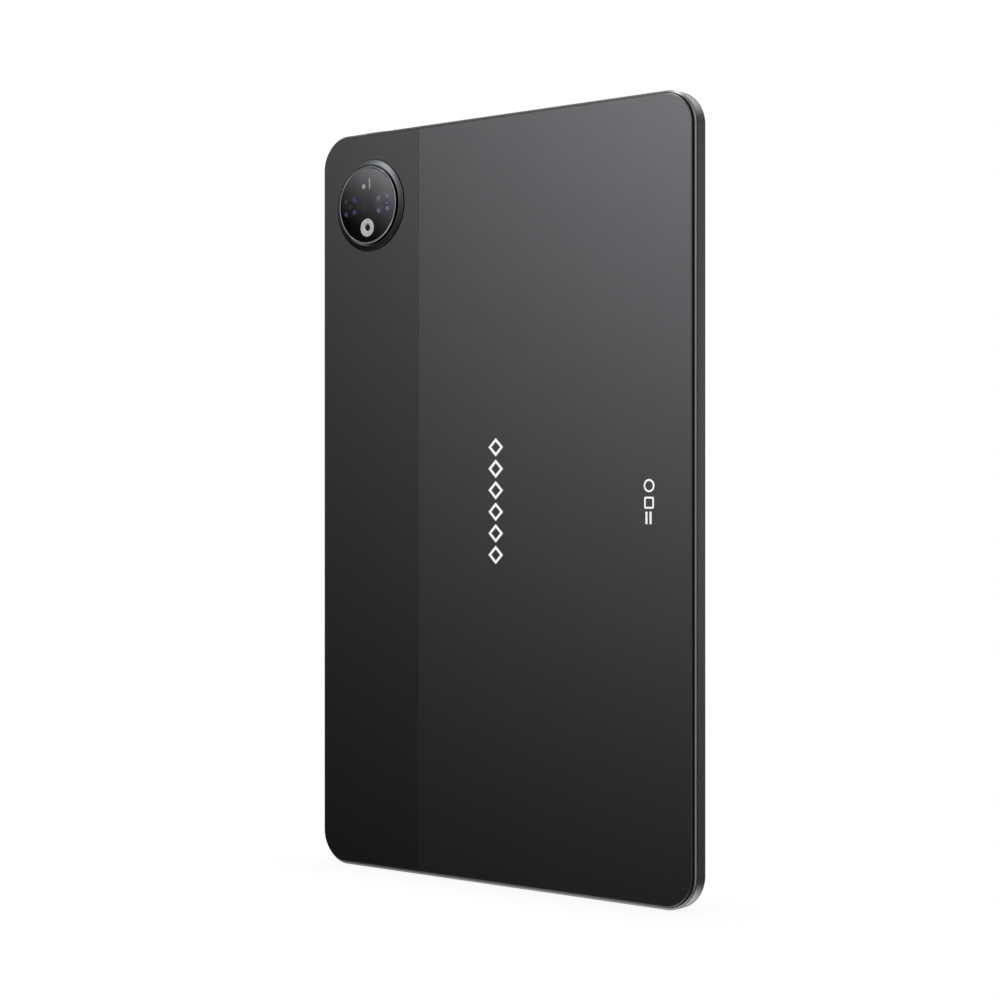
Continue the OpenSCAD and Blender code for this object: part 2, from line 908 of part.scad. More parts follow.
module volume_switches() {
    color("#c9c9c4") for (s = [-1, 1])
        translate([volume_inner_x - side_dome_h - 2 * rib_gap, port_y, volume_z + s * switch_pitch / 2])
            key_switch(switch_h, side_dome_h);
}

// Carries the two switches, and its rib is the rocker's fulcrum
module volume_bracket() {
    x = volume_inner_x - side_dome_h - 2 * rib_gap - switch_h;
    half = volume_bracket_len / 2;
    color("#a7a9ab") translate([0, 0, volume_z]) {
        block([x - key_bracket_t, plate_rear, -half], [x, key_bracket_top, half]);
        block([x, plate_rear, -rib_w / 2], [volume_inner_x - 3 * rib_gap, key_bracket_top, rib_w / 2]);
    }
}

// ---------- card tray and ejector ----------

module sim_socket() {
    low_z = pin_z - 1.6;
    high_z = tray_z + tray_w / 2 + 1;
    inner_x = lever_x - 4.5;
    outer_x = half_w - wall_t - 0.3;
    y0 = port_y - tray_t / 2 - socket_room;
    y1 = port_y + tray_t / 2 + socket_room;
    half_d = tray_w / 2 + tray_play;
    channel = pin_r + pin_play / 2;
    color("#b0b2b5") difference() {
        block([inner_x, y0 - socket_wall, low_z], [outer_x, y1 + socket_wall, high_z]);
        // The lever's room, the tray's room and the plunger's channel
        block([lever_x - 3.9, y0, low_z + 0.3], [tray_end_x + 0.6, y1, high_z - 0.4]);
        block([tray_end_x, y0, tray_z - half_d], [outer_x + over, y1, tray_z + half_d]);
        block([tray_end_x, port_y - channel, pin_z - channel],
            [outer_x + over, port_y + channel, pin_z + channel]);
        translate([lever_x, 0, lever_z]) rod(lever_pin_r, -half_t, half_t);
    }
}

module sim_tray() {
    color(frame_colour) difference() {
        union() {
            translate([0, port_y, door_z]) slot_out(door_len, door_h, half_w - door_t, half_w);
            block([tray_end_x, port_y - tray_t / 2, tray_z - tray_w / 2],
                [half_w - door_t + slab_lap, port_y + tray_t / 2, tray_z + tray_w / 2]);
        }
        for (p = card_pockets)
            block([tray_end_x + p[0], pocket_y, tray_z - p[2]],
                [tray_end_x + p[1], port_y + tray_t, tray_z + p[2]]);
        for (p = card_floors)
            block([tray_end_x + p[0], port_y - tray_t, tray_z - p[2]],
                [tray_end_x + p[1], port_y, tray_z + p[2]]);
        translate([half_w - door_t - over, port_y, pin_z]) rotate([0, 90, 0])
            cylinder(r = pin_hole_r, h = door_t + 2 * over);
    }
}

module eject_plunger() {
    x0 = lever_x + 1.9;
    color("#c2c4c6") translate([x0, port_y, pin_z]) rotate([0, 90, 0])
        cylinder(r = pin_r, h = half_w - door_t - 0.15 - x0);
}

module eject_lever() {
    color("#c2c4c6") translate([lever_x, 0, lever_z])
        difference() {
            between(port_y - tray_t / 2, port_y + tray_t / 2) {
                square([lever_w, -2 * lever_arm], center = true);
                circle(lever_hub_r);
                for (s = [-1, 1]) translate([lever_w / 4, s * lever_arm]) circle(lever_tip_r);
            }
            rod(lever_bore_r, -half_t, half_t);
        }
}

module lever_pin() {
    color("#d0d2d4") translate([lever_x, 0, lever_z])
        rod(lever_pin_r, port_y - tray_t / 2 - socket_room - socket_wall,
            port_y + tray_t / 2 + socket_room + socket_wall);
}

module eject_pusher() {
    x1 = tray_end_x - pusher_gap;
    color("#c2c4c6") block([x1 - pusher_t + pusher_gap, port_y - tray_t / 2, lever_z + 1.8],
        [x1, port_y + tray_t / 2, tray_z + 3]);
}

mid_frame();
rear_seal();
rear_cover();
rear_strip();
front_bezel();
cover_glass();
lcd_cell();
light_guide();
backlight_tray();
display_flex();
front_camera();
camera_base_ring();
camera_bezel_ring();
camera_window();
flash_ring();
flash_led();
main_camera();
second_camera();
camera_bracket();
main_board();
board_chips();
shield_cans();
flex_connectors();
heat_spreader();
battery_cell_left();
battery_cell_right();
battery_board();
speaker_bottom_left();
speaker_bottom_right();
speaker_top_left();
speaker_top_right();
speaker_meshes();
speaker_gaskets();
sub_board();
usb_c_shell();
usb_c_tongue();
link_flex();
antenna_top();
antenna_bottom();
coax_cable();
microphone();
vibration_motor();
power_button();
power_switch();
power_bracket();
volume_rocker();
volume_switches();
volume_bracket();
sim_socket();
sim_tray();
eject_plunger();
eject_lever();
lever_pin();
eject_pusher();
board_screws();
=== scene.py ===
import json
import math

import bmesh
import bpy
from bpy.props import FloatProperty, FloatVectorProperty, PointerProperty
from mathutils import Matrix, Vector


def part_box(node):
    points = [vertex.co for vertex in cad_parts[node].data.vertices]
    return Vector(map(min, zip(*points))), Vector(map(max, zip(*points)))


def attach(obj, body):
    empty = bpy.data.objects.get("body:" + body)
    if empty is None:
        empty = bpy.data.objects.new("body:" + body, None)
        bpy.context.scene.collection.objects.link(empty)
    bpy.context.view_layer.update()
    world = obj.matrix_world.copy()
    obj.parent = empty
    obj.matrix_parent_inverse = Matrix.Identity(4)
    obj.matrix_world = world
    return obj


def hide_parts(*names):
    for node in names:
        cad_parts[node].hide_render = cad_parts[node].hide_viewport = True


bl_info = {
    "name": "Tablet Computer",
    "version": (1, 0, 0),
    "blender": (4, 5, 0),
    "location": "3D View > Sidebar > Tablet",
    "description": "Builds the looks of a slim tablet with a round camera island round its packed frame",
    "category": "Add Mesh",
}

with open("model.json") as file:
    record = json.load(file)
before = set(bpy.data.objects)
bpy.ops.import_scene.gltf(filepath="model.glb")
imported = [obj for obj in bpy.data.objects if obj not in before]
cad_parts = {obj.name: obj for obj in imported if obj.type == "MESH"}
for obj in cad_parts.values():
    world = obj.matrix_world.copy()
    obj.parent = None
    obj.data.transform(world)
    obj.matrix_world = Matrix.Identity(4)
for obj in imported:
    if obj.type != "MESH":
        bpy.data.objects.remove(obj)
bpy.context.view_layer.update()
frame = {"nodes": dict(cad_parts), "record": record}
MM = 0.001


# ---------- sizes taken from the frame, in millimetres ----------

def node_box(node):
    """The lowest and highest corners of a CAD node, in millimetres."""
    low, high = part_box(node)
    return low / MM, high / MM


CASE_LOW, CASE_HIGH = node_box("mid_frame")
PANEL_LOW, PANEL_HIGH = node_box("rear_cover")
GLASS_LOW, GLASS_HIGH = node_box("cover_glass")
BASE_LOW, BASE_HIGH = node_box("camera_base_ring")
RING_LOW, RING_HIGH = node_box("camera_bezel_ring")
WINDOW_LOW, WINDOW_HIGH = node_box("camera_window")
FLASH_LOW, FLASH_HIGH = node_box("flash_ring")
TONGUE_LOW, TONGUE_HIGH = node_box("usb_c_tongue")
SHELL_LOW, SHELL_HIGH = node_box("usb_c_shell")
LCD_LOW, LCD_HIGH = node_box("lcd_cell")
SELFIE_LOW, SELFIE_HIGH = node_box("front_camera")
MIC_LOW, MIC_HIGH = node_box("microphone")

CASE_W = CASE_HIGH.x - CASE_LOW.x
CASE_H = CASE_HIGH.z - CASE_LOW.z
HALF_W = CASE_W / 2
MID_Z = CASE_H / 2
REAR_Y = PANEL_HIGH.y
FRONT_Y = GLASS_LOW.y
LEDGE_Y = PANEL_LOW.y
ISLAND_X = (RING_LOW.x + RING_HIGH.x) / 2
ISLAND_Z = (RING_LOW.z + RING_HIGH.z) / 2
PORT_Y = (TONGUE_LOW.y + TONGUE_HIGH.y) / 2
SEAM_X = PANEL_HIGH.x + 0.05
SEAM_GAP = 0.02
OPENING_PLAY = 0.12
CORNER_STEPS = 24


def linear(hex_colour):
    """An sRGB hex colour as linear red, green, blue and alpha."""
    values = [int(hex_colour[i:i + 2], 16) / 255 for i in (1, 3, 5)]
    curve = [v / 12.92 if v <= 0.04045 else ((v + 0.055) / 1.055) ** 2.4 for v in values]
    return (*curve, 1.0)


def colour_prop(name, description, hex_colour):
    return FloatVectorProperty(
        name=name, description=description, default=linear(hex_colour), size=4,
        subtype="COLOR", min=0, max=1)


def length_prop(name, description, millimetres):
    return FloatProperty(
        name=name, description=description, default=millimetres * MM, min=0, unit="LENGTH")


class TabletCase(bpy.types.PropertyGroup):
    """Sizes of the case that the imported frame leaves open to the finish."""
    corner_radius: length_prop("Corner radius", "Radius of the case's four corners", 11.5)
    edge_round: length_prop("Edge break", "Radius of the small rounding on machined edges", 0.05)
    seam_round: length_prop("Seam rounding", "Rounding of the rear skin along its seam", 0.06)
    mouth_flare: length_prop("Hole flare", "Small flare at the mouth of a sound hole", 0.12)
    mark_height: length_prop("Ink height", "Height of the printed marks above the skin", 0.012)


class TabletFinish(bpy.types.PropertyGroup):
    """Colours of the visible finishes."""
    panel: colour_prop("Rear panel", "Anodised rear panel", "#8d8e90")
    strip: colour_prop("Rear strip", "Coated strip beside the camera", "#7e7e80")
    side: colour_prop("Side frame", "Blasted and anodised frame", "#77797c")
    rim: colour_prop("Polished rim", "Bright rim cut on the frame's rear edge", "#b9bbbd")
    island: colour_prop("Island base", "Anodised base ring of the camera island", "#8a8c8f")
    bright_ring: colour_prop("Bright ring", "Turned ring round the camera glass", "#a6a8aa")
    ink: colour_prop("Ink", "Printed marks", "#f6f6f4")
    faint_ink: colour_prop("Faint ink", "Printed shapes on the camera glass", "#8e8e8e")


def level_prop(name, description, level):
    return FloatProperty(name=name, description=description, default=level, min=0)


class TabletStage(bpy.types.PropertyGroup):
    """Light and floor."""
    front: level_prop("Front light", "Strength of the light that climbs in front of the skin", 2.38)
    top: level_prop("Top light", "Highest level of that light", 1.0)
    rim: level_prop("Rim light", "Even card that lights the bright rim", 0.5)
    side: level_prop("Side light", "Light level on the side frame", 0.5)
    far: level_prop("Far cards", "Pale cards above and below the far side", 3.0)
    bottom: level_prop("Bounce light", "Soft light from below", 0.6)
    left: level_prop("Left card", "Low card that draws a thin line along the left edge", 0.8)
    lamp: FloatProperty(
        name="Soft box", description="Power of the soft box over the camera", default=14.0,
        unit="POWER")
    floor_size: FloatProperty(
        name="Floor radius", description="Radius of the pale floor", default=3.0, unit="LENGTH")


def settings():
    """The three property groups of the scene."""
    scene = bpy.context.scene
    return scene.tablet_case, scene.tablet_finish, scene.tablet_stage


# ---------- mesh helpers ----------

def new_piece(name, points, faces, *materials):
    """A mesh object at the origin, from points in millimetres."""
    mesh = bpy.data.meshes.new(name)
    mesh.from_pydata([Vector(p) * MM for p in points], [], faces)
    piece = bpy.data.objects.new(name, mesh)
    bpy.context.scene.collection.objects.link(piece)
    for material in materials:
        mesh.materials.append(material)
    return piece


def tidy(piece, angle=12):
    """Merges doubles, turns the faces outwards and shades by angle."""
    edit = bmesh.new()
    edit.from_mesh(piece.data)
    bmesh.ops.remove_doubles(edit, verts=edit.verts, dist=0.2e-6)
    bmesh.ops.recalc_face_normals(edit, faces=edit.faces)
    edit.to_mesh(piece.data)
    edit.free()
    piece.data.shade_smooth()
    piece.data.set_sharp_from_angle(angle=math.radians(angle))
    return piece


def keep(piece, body, slot, *nodes):
    """Sets a finished piece on its body and hides the nodes it stands for. Its material slot is not
    used.
    """
    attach(piece, body)
    if nodes:
        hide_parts(*nodes)
    return piece


def loft(rings, cap=True):
    """Points and faces of a skin over equal rings of points."""
    count = len(rings[0])
    points = [p for ring in rings for p in ring]
    faces = []
    for level in range(len(rings) - 1):
        low = level * count
        for i in range(count):
            j = (i + 1) % count
            faces.append((low + i, low + j, low + count + j, low + count + i))
    if cap:
        faces.append(tuple(reversed(range(count))))
        last = (len(rings) - 1) * count
        faces.append(tuple(range(last, last + count)))
    return points, faces


def arc(x, z, radius, start, end, steps):
    """Points of an arc in the XZ plane, with angles in degrees."""
    angles = [math.radians(start + (end - start) * i / steps) for i in range(steps + 1)]
    return [(x + radius * math.cos(a), z + radius * math.sin(a)) for a in angles]


def case_outline(inset, corner):
    """The case's outline, stepped in, as (x, z) points."""
    x, z, r = HALF_W - corner, MID_Z - corner, corner - inset
    spots = ((x, z, 0), (-x, z, 90), (-x, -z, 180), (x, -z, 270))
    points = []
    for cx, cz, start in spots:
        points += arc(cx, MID_Z + cz, r, start, start + 90, CORNER_STEPS)
    return points


def lifted(outline, level):
    """An (x, z) outline at a level through the thickness."""
    return [(x, level, z) for x, z in outline]


def soften(section, radius, steps=3):
    """A closed section with each corner rounded off."""
    rounded = []
    for i, corner in enumerate(section):
        here = Vector(corner)
        back, ahead = Vector(section[i - 1]) - here, Vector(section[(i + 1) % len(section)]) - here
        reach = min(radius, back.length * 0.45, ahead.length * 0.45)
        start, end = here + back.normalized() * reach, here + ahead.normalized() * reach
        for k in range(steps + 1):
            t = k / steps
            rounded.append(start * (1 - t) ** 2 + here * 2 * t * (1 - t) + end * t ** 2)
    return rounded


def turned(name, section, centre, material, steps=128, radius=0.03):
    """A ring turned from a closed section of (radius, level) round an axis along Y."""
    profile = soften(section, radius)
    rings = []
    for i in range(steps):
        a = 2 * math.pi * i / steps
        rings.append([
            (centre[0] + p[0] * math.cos(a), p[1], centre[1] + p[0] * math.sin(a)) for p in profile])
    points, faces = loft(rings + [rings[0]], cap=False)
    return tidy(new_piece(name, points, faces, material))


def stadium(length, width, steps=18):
    """A bar with round ends, as (long, short) points."""
    reach = (length - width) / 2
    ends = arc(reach, 0, width / 2, -90, 90, steps) + arc(-reach, 0, width / 2, 90, 270, steps)
    return ends


def evaluated_mesh(piece):
    graph = bpy.context.evaluated_depsgraph_get()
    return bpy.data.meshes.new_from_object(piece.evaluated_get(graph))


def set_mesh(piece, mesh):
    """Gives a piece its finished mesh and removes its modifiers."""
    piece.modifiers.clear()
    old = piece.data
    piece.data = mesh
    mesh.name = piece.name
    bpy.data.meshes.remove(old)
    return piece


def cut(piece, *cutters, operation="DIFFERENCE"):
    """Carves the cutters out of a piece, or joins them to it."""
    for cutter in cutters:
        modifier = piece.modifiers.new("Cut", "BOOLEAN")
        modifier.operation = operation
        modifier.solver = "EXACT"
        modifier.object = cutter
        set_mesh(piece, evaluated_mesh(piece))
        bpy.data.objects.remove(cutter)
    return piece


def bevelled_copy(node, name, width, material, angle=35, segments=2):
    """A copy of a CAD node with its flat faces merged and its edges broken."""
    mesh = frame["nodes"][node].data.copy()
    piece = bpy.data.objects.new(name, mesh)
    bpy.context.scene.collection.objects.link(piece)
    mesh.materials.clear()
    mesh.materials.append(material)
    for face in mesh.polygons:
        face.material_index = 0
    edit = bmesh.new()
    edit.from_mesh(mesh)
    bmesh.ops.remove_doubles(edit, verts=edit.verts, dist=1e-6)
    bmesh.ops.dissolve_limit(
        edit, angle_limit=math.radians(2), verts=edit.verts, edges=edit.edges)
    edit.to_mesh(mesh)
    edit.free()
    modifier = piece.modifiers.new("Edge break", "BEVEL")
    modifier.width = width * MM
    modifier.segments = segments
    modifier.limit_method = "ANGLE"
    modifier.angle_limit = math.radians(angle)
    set_mesh(piece, evaluated_mesh(piece))
    return tidy(piece)


# ---------- node trees ----------

def feed(tree, node, inputs):
    """Links or sets a node's inputs, by name or number."""
    for key, value in inputs.items():
        socket = node.inputs[key]
        if isinstance(value, bpy.types.NodeSocket):
            tree.links.new(value, socket)
        else:
            socket.default_value = value


def add_node(tree, kind, inputs=None, **values):
    """Adds a node with its settings and links."""
    node = tree.nodes.new(kind)
    for key, value in values.items():
        setattr(node, key, value)
    feed(tree, node, inputs or {})
    return node


def new_tree(name, inputs):
    """A geometry tree with one geometry input, the named inputs and one geometry output."""
    tree = bpy.data.node_groups.new(name, "GeometryNodeTree")
    tree.is_modifier = True
    face = tree.interface
    face.new_socket("Shape", in_out="INPUT", socket_type="NodeSocketGeometry")
    for label, kind in inputs:
        face.new_socket(label, in_out="INPUT", socket_type="NodeSocket" + kind)
    face.new_socket("Result", in_out="OUTPUT", socket_type="NodeSocketGeometry")
    return tree, add_node(tree, "NodeGroupInput").outputs


def end_tree(tree, geometry, material):
    """Realises the tree's instances, sets the material and joins the output."""
    real = add_node(tree, "GeometryNodeRealizeInstances", {"Geometry": geometry})
    painted = add_node(
        tree, "GeometryNodeSetMaterial", {"Geometry": real.outputs[0], "Material": material})
    add_node(tree, "NodeGroupOutput", {0: painted.outputs[0]})
    return tree


def run_tree(piece, tree, **values):
    """Runs a tree on a piece and leaves the plain mesh."""
    modifier = piece.modifiers.new(tree.name, "NODES")
    modifier.node_group = tree
    for item in tree.interface.items_tree:
        key = item.name.lower().replace(" ", "_")
        if item.in_out == "INPUT" and key in values:
            modifier[item.identifier] = values[key]
    mesh = evaluated_mesh(piece)
    return set_mesh(piece, mesh)


def outline_tree(name, material):
    """Carries a flat closed section round the case's outline."""
    tree, given = new_tree(name, [
        ("Width", "Float"), ("Height", "Float"), ("Corner radius", "Float"), ("Corner steps", "Int")])
    section = add_node(tree, "GeometryNodeMeshToCurve", {"Mesh": given["Shape"]})
    plain = add_node(tree, "GeometryNodeCurvePrimitiveQuadrilateral", {
        "Width": given["Width"], "Height": given["Height"]}, mode="RECTANGLE")
    path = add_node(tree, "GeometryNodeFilletCurve", {
        "Curve": plain.outputs[0], "Count": given["Corner steps"],
        "Radius": given["Corner radius"]}, mode="POLY")
    upright = add_node(
        tree, "GeometryNodeSetCurveNormal", {"Curve": path.outputs[0]}, mode="Z_UP")
    swept = add_node(tree, "GeometryNodeCurveToMesh", {
        "Curve": upright.outputs[0], "Profile Curve": section.outputs[0]})
    half = add_node(
        tree, "ShaderNodeMath", {0: given["Height"], 1: 0.5}, operation="MULTIPLY")
    middle = add_node(tree, "ShaderNodeCombineXYZ", {"Z": half.outputs[0]})
    placed = add_node(tree, "GeometryNodeTransform", {
        "Geometry": swept.outputs[0], "Rotation": (math.pi / 2, 0, 0),
        "Translation": middle.outputs[0]})
    return end_tree(tree, placed.outputs[0], material)


def row_tree(name, material):
    """Repeats a shape along a straight row."""
    tree, given = new_tree(name, [("Count", "Int"), ("Start", "Vector"), ("Step", "Vector")])
    line = add_node(tree, "GeometryNodeMeshLine", {
        "Count": given["Count"], "Start Location": given["Start"], "Offset": given["Step"]},
        mode="OFFSET", count_mode="TOTAL")
    copies = add_node(tree, "GeometryNodeInstanceOnPoints", {
        "Points": line.outputs[0], "Instance": given["Shape"]})
    return end_tree(tree, copies.outputs[0], material)


def carried(name, section, material, radius=0.03):
    """A ring made by carrying a section of (step in, level) round the case."""
    corner = settings()[0].corner_radius
    profile = soften(section, radius)
    mesh = bpy.data.meshes.new(name)
    count = len(profile)
    edges = [(i, (i + 1) % count) for i in range(count)]
    mesh.from_pydata([(-p[0] * MM, p[1] * MM, 0) for p in profile], edges, [])
    piece = bpy.data.objects.new(name, mesh)
    bpy.context.scene.collection.objects.link(piece)
    run_tree(
        piece, outline_tree(name + "_path", material), width=CASE_W * MM, height=CASE_H * MM,
        corner_radius=corner, corner_steps=CORNER_STEPS)
    return tidy(piece)


def row(name, points, faces, material, count, start, step):
    """A row of equal shapes, from millimetre sizes."""
    piece = new_piece(name, points, faces, material)
    run_tree(
        piece, row_tree(name + "_row", material), count=count,
        start=Vector(start) * MM, step=Vector(step) * MM)
    return piece


# ---------- materials ----------

def new_material(name):
    """A node material, its tree and its shader."""
    material = bpy.data.materials.new(name)
    material.use_nodes = True
    tree = material.node_tree
    return material, tree, tree.nodes["Principled BSDF"]


def grain(tree, millimetres, detail=3.0):
    """Inputs of a noise on object coordinates, with its size in millimetres."""
    place = add_node(tree, "ShaderNodeTexCoord")
    return {"Vector": place.outputs["Object"], "Scale": 1 / (millimetres * MM), "Detail": detail}


def surface(name, colour, metallic, roughness, grain_mm, relief_mm, spread=0.06, tone=0.06, sheen=0.5):
    """A fine finish: mottled colour, uneven gloss and a slight relief, at a real grain size."""
    material, tree, shader = new_material(name)
    noise = add_node(tree, "ShaderNodeTexNoise", grain(tree, grain_mm))
    cloud = add_node(tree, "ShaderNodeTexNoise", grain(tree, grain_mm * CLOUD_SIZE, 2.0))
    dark, light = [[min(1, c * (1 + shift)) for c in colour[:3]] + [1] for shift in (-tone, tone)]
    mixed = add_node(tree, "ShaderNodeMix", {
        0: cloud.outputs[0], 6: dark, 7: light}, data_type="RGBA")
    gloss = add_node(tree, "ShaderNodeMapRange", {
        "Value": noise.outputs[0], "From Min": 0.3, "From Max": 0.7,
        "To Min": roughness - spread, "To Max": roughness + spread})
    relief = add_node(tree, "ShaderNodeBump", {
        "Height": noise.outputs[0], "Strength": 0.5, "Distance": relief_mm * MM})
    feed(tree, shader, {
        "Base Color": mixed.outputs[2], "Roughness": gloss.outputs[0], "Normal": relief.outputs[0],
        "Metallic": metallic, "Specular IOR Level": sheen})
    return material


# The soft clouds of a finish are this many times its grain
CLOUD_SIZE = 40


def anodised_panel(name, colour):
    """Blasted and anodised aluminium: an even satin that takes a broad, soft shine.

    Its grain is near 0.05 mm, and is drawn at 0.3 mm so that it shows."""
    return surface(name, colour, 1.0, 0.23, 0.3, 0.003, spread=0.02, tone=0.025)


def anodised_frame(name, colour):
    """The same alloy blasted coarser on the frame and its keys, so it shines less than the panel."""
    return surface(name, colour, 1.0, 0.34, 0.25, 0.004, spread=0.04, tone=0.03)


def painted_shade_black():
    """Nearly black aluminium on the steep walls of the island: painted shade standing for the shaded
    gaps beside the rings, so the rings stand apart.
    """
    return surface("black_anodised_wall", linear("#17181a"), 1.0, 0.3, 0.2, 0.003)


def printing_ink(name, colour, roughness):
    """Screen-printed ink: flat and matt, a little uneven at its edge."""
    return surface(name, colour, 0.0, roughness, 0.15, 0.002, tone=0.03)


def bright_cut(name, colour, lay_mm):
    """Aluminium cut with a diamond tool: nearly a mirror, so it draws a thin bright line.

    The tool's lines are near 0.01 mm, and are drawn at the given size so that they show."""
    material, tree, shader = new_material(name)
    lines = add_node(tree, "ShaderNodeTexNoise", grain(tree, lay_mm, 2.0))
    relief = add_node(tree, "ShaderNodeBump", {
        "Height": lines.outputs[0], "Strength": 0.3, "Distance": 0.001 * MM})
    gloss = add_node(tree, "ShaderNodeMapRange", {
        "Value": lines.outputs[0], "To Min": 0.12, "To Max": 0.24})
    feed(tree, shader, {
        "Normal": relief.outputs[0], "Roughness": gloss.outputs[0], "Base Color": colour,
        "Metallic": 1.0})
    return material


# The painted reflection on the glass climbs this way, between these heights as parts of the island's
# width
REFLECTION_WAY = (-0.5, 0, 0.87)
REFLECTION_HEIGHTS = (-0.36, 0.52)
REFLECTION_CURVE = 1.9


def glass_painted_reflection(tree):
    """A painted reflection on the island's printed glass: black below, greyer towards its upper outer
    side.
    """
    place = add_node(tree, "ShaderNodeTexCoord")
    centred = add_node(tree, "ShaderNodeVectorMath", {
        0: place.outputs["Object"], 1: (ISLAND_X * MM, 0, ISLAND_Z * MM)}, operation="SUBTRACT")
    reach = (RING_HIGH.x - RING_LOW.x) * MM
    along = add_node(tree, "ShaderNodeVectorMath", {
        0: centred.outputs[0], 1: [c / reach for c in REFLECTION_WAY]}, operation="DOT_PRODUCT")
    fade = add_node(tree, "ShaderNodeMapRange", {
        "Value": along.outputs["Value"], "From Min": REFLECTION_HEIGHTS[0], "From Max": REFLECTION_HEIGHTS[1]})
    curve = add_node(tree, "ShaderNodeMath", {0: fade.outputs[0], 1: REFLECTION_CURVE}, operation="POWER")
    # The black end is the print; the grey end is painted reflection
    tint = add_node(tree, "ShaderNodeMix", {
        0: curve.outputs[0], 6: linear("#030304"), 7: linear("#6c6d6f")}, data_type="RGBA")
    return place.outputs["Object"], tint.outputs[2]


def island_glass_finish():
    """Dark printed cover glass with an anti-reflective coating, so it mirrors very little; its colour
    carries a painted reflection, greyer towards its upper outer side.
    """
    material, tree, shader = new_material("dark_printed_camera_glass")
    tint = glass_painted_reflection(tree)[1]
    speck = add_node(tree, "ShaderNodeTexNoise", grain(tree, 0.2))
    gloss = add_node(tree, "ShaderNodeMapRange", {
        "Value": speck.outputs[0], "To Min": 0.05, "To Max": 0.09})
    feed(tree, shader, {
        "Base Color": tint, "Roughness": gloss.outputs[0], "Specular IOR Level": 0.15})
    return material


def lens_finish(name, centre, painted_glints):
    """Coated lens behind the glass: nearly as dark as the print over the glass's painted reflection,
    with soft violet painted glint spots and a faint painted glow.
    """
    material, tree, shader = new_material(name)
    place, last = glass_painted_reflection(tree)
    flat = add_node(tree, "ShaderNodeVectorMath", {0: place, 1: (1, 0, 1)}, operation="MULTIPLY")
    # Each spot is a painted glint, a reflection of the studio lights in the lens coating
    for across, up, radius, hex_colour in painted_glints:
        spot = (centre[0] - across) * MM, 0, (centre[1] + up) * MM
        away = add_node(tree, "ShaderNodeVectorMath", {
            0: flat.outputs[0], 1: spot}, operation="DISTANCE")
        mask = add_node(tree, "ShaderNodeMapRange", {
            "Value": away.outputs["Value"], "From Min": 0.0, "From Max": radius * MM,
            "To Min": 1.0, "To Max": 0.0}, interpolation_type="SMOOTHSTEP")
        mixed = add_node(tree, "ShaderNodeMix", {
            0: mask.outputs[0], 6: last, 7: linear(hex_colour)}, data_type="RGBA")
        last = mixed.outputs[2]
    wear = add_node(tree, "ShaderNodeTexNoise", grain(tree, 0.15))
    gloss = add_node(tree, "ShaderNodeMapRange", {
        "Value": wear.outputs[0], "To Min": 0.04, "To Max": 0.08})
    # Painted glow: the whole lens colour, glint spots included, is also emitted at a low strength
    feed(tree, shader, {
        "Base Color": last, "Emission Color": last, "Emission Strength": 0.15,
        "Specular IOR Level": 0.15, "Roughness": gloss.outputs[0]})
    return material


def diffuser_finish():
    """Frosted polycarbonate moulded with tiny prisms: silver white with a soft sparkle."""
    material, tree, shader = new_material("frosted_prism_polycarbonate")
    place = add_node(tree, "ShaderNodeTexCoord")
    cells = add_node(tree, "ShaderNodeTexVoronoi", {
        "Vector": place.outputs["Object"], "Scale": 1 / (0.32 * MM)})
    tint = add_node(tree, "ShaderNodeMix", {
        0: cells.outputs["Distance"], 6: linear("#c4c4c3"), 7: linear("#808183")}, data_type="RGBA")
    relief = add_node(tree, "ShaderNodeBump", {
        "Height": cells.outputs["Distance"], "Strength": 0.6, "Distance": 0.05 * MM})
    feed(tree, shader, {
        "Base Color": tint.outputs[2], "Normal": relief.outputs[0], "Roughness": 0.4})
    return material


def screen_finish():
    """Cover glass over a switched-off display: black printed border, slightly lighter active area, and a
    painted bluish glint over the front camera.
    """
    material, tree, shader = new_material("cover_glass_over_dark_display")
    place = add_node(tree, "ShaderNodeTexCoord")
    middle = (LCD_HIGH + LCD_LOW) / 2 * MM
    half = (LCD_HIGH - LCD_LOW) / 2 * MM
    centred = add_node(tree, "ShaderNodeVectorMath", {
        0: place.outputs["Object"], 1: (0, 0, middle.z)}, operation="SUBTRACT")
    folded = add_node(tree, "ShaderNodeVectorMath", {0: centred.outputs[0]}, operation="ABSOLUTE")
    parts = add_node(tree, "ShaderNodeSeparateXYZ", {0: folded.outputs[0]})
    in_x, in_z = [add_node(tree, "ShaderNodeMath", {
        0: parts.outputs[axis], 1: limit}, operation="LESS_THAN")
        for axis, limit in (("X", half.x), ("Z", half.z))]
    inside = add_node(tree, "ShaderNodeMath", {
        0: in_x.outputs[0], 1: in_z.outputs[0]}, operation="MULTIPLY")
    # Painted glint: a bluish spot over the front camera stands for the reflection in its lens coating
    lens = add_node(tree, "ShaderNodeVectorMath", {
        0: place.outputs["Object"],
        1: ((SELFIE_LOW.x + SELFIE_HIGH.x) / 2 * MM, FRONT_Y * MM, MID_Z * MM)}, operation="DISTANCE")
    eye = add_node(tree, "ShaderNodeMapRange", {
        "Value": lens.outputs["Value"], "From Min": 0.7 * MM, "From Max": 1.4 * MM,
        "To Min": 1.0, "To Max": 0.0})
    border = add_node(tree, "ShaderNodeMix", {
        0: inside.outputs[0], 6: linear("#060607"), 7: linear("#101216")}, data_type="RGBA")
    tint = add_node(tree, "ShaderNodeMix", {
        0: eye.outputs[0], 6: border.outputs[2], 7: linear("#1c1d3a")}, data_type="RGBA")
    smear = add_node(tree, "ShaderNodeTexNoise", grain(tree, 6.0))
    gloss = add_node(tree, "ShaderNodeMapRange", {
        "Value": smear.outputs[0], "To Min": 0.03, "To Max": 0.07})
    feed(tree, shader, {
        "Base Color": tint.outputs[2], "Roughness": gloss.outputs[0], "Coat Weight": 0.5,
        "Coat Roughness": 0.03})
    return material


# Pitch of the gauze's wires in mm, and the wave node's scale for one wave in a unit of length
WIRE_PITCH = 0.25
ONE_WAVE = 6.283 / 20


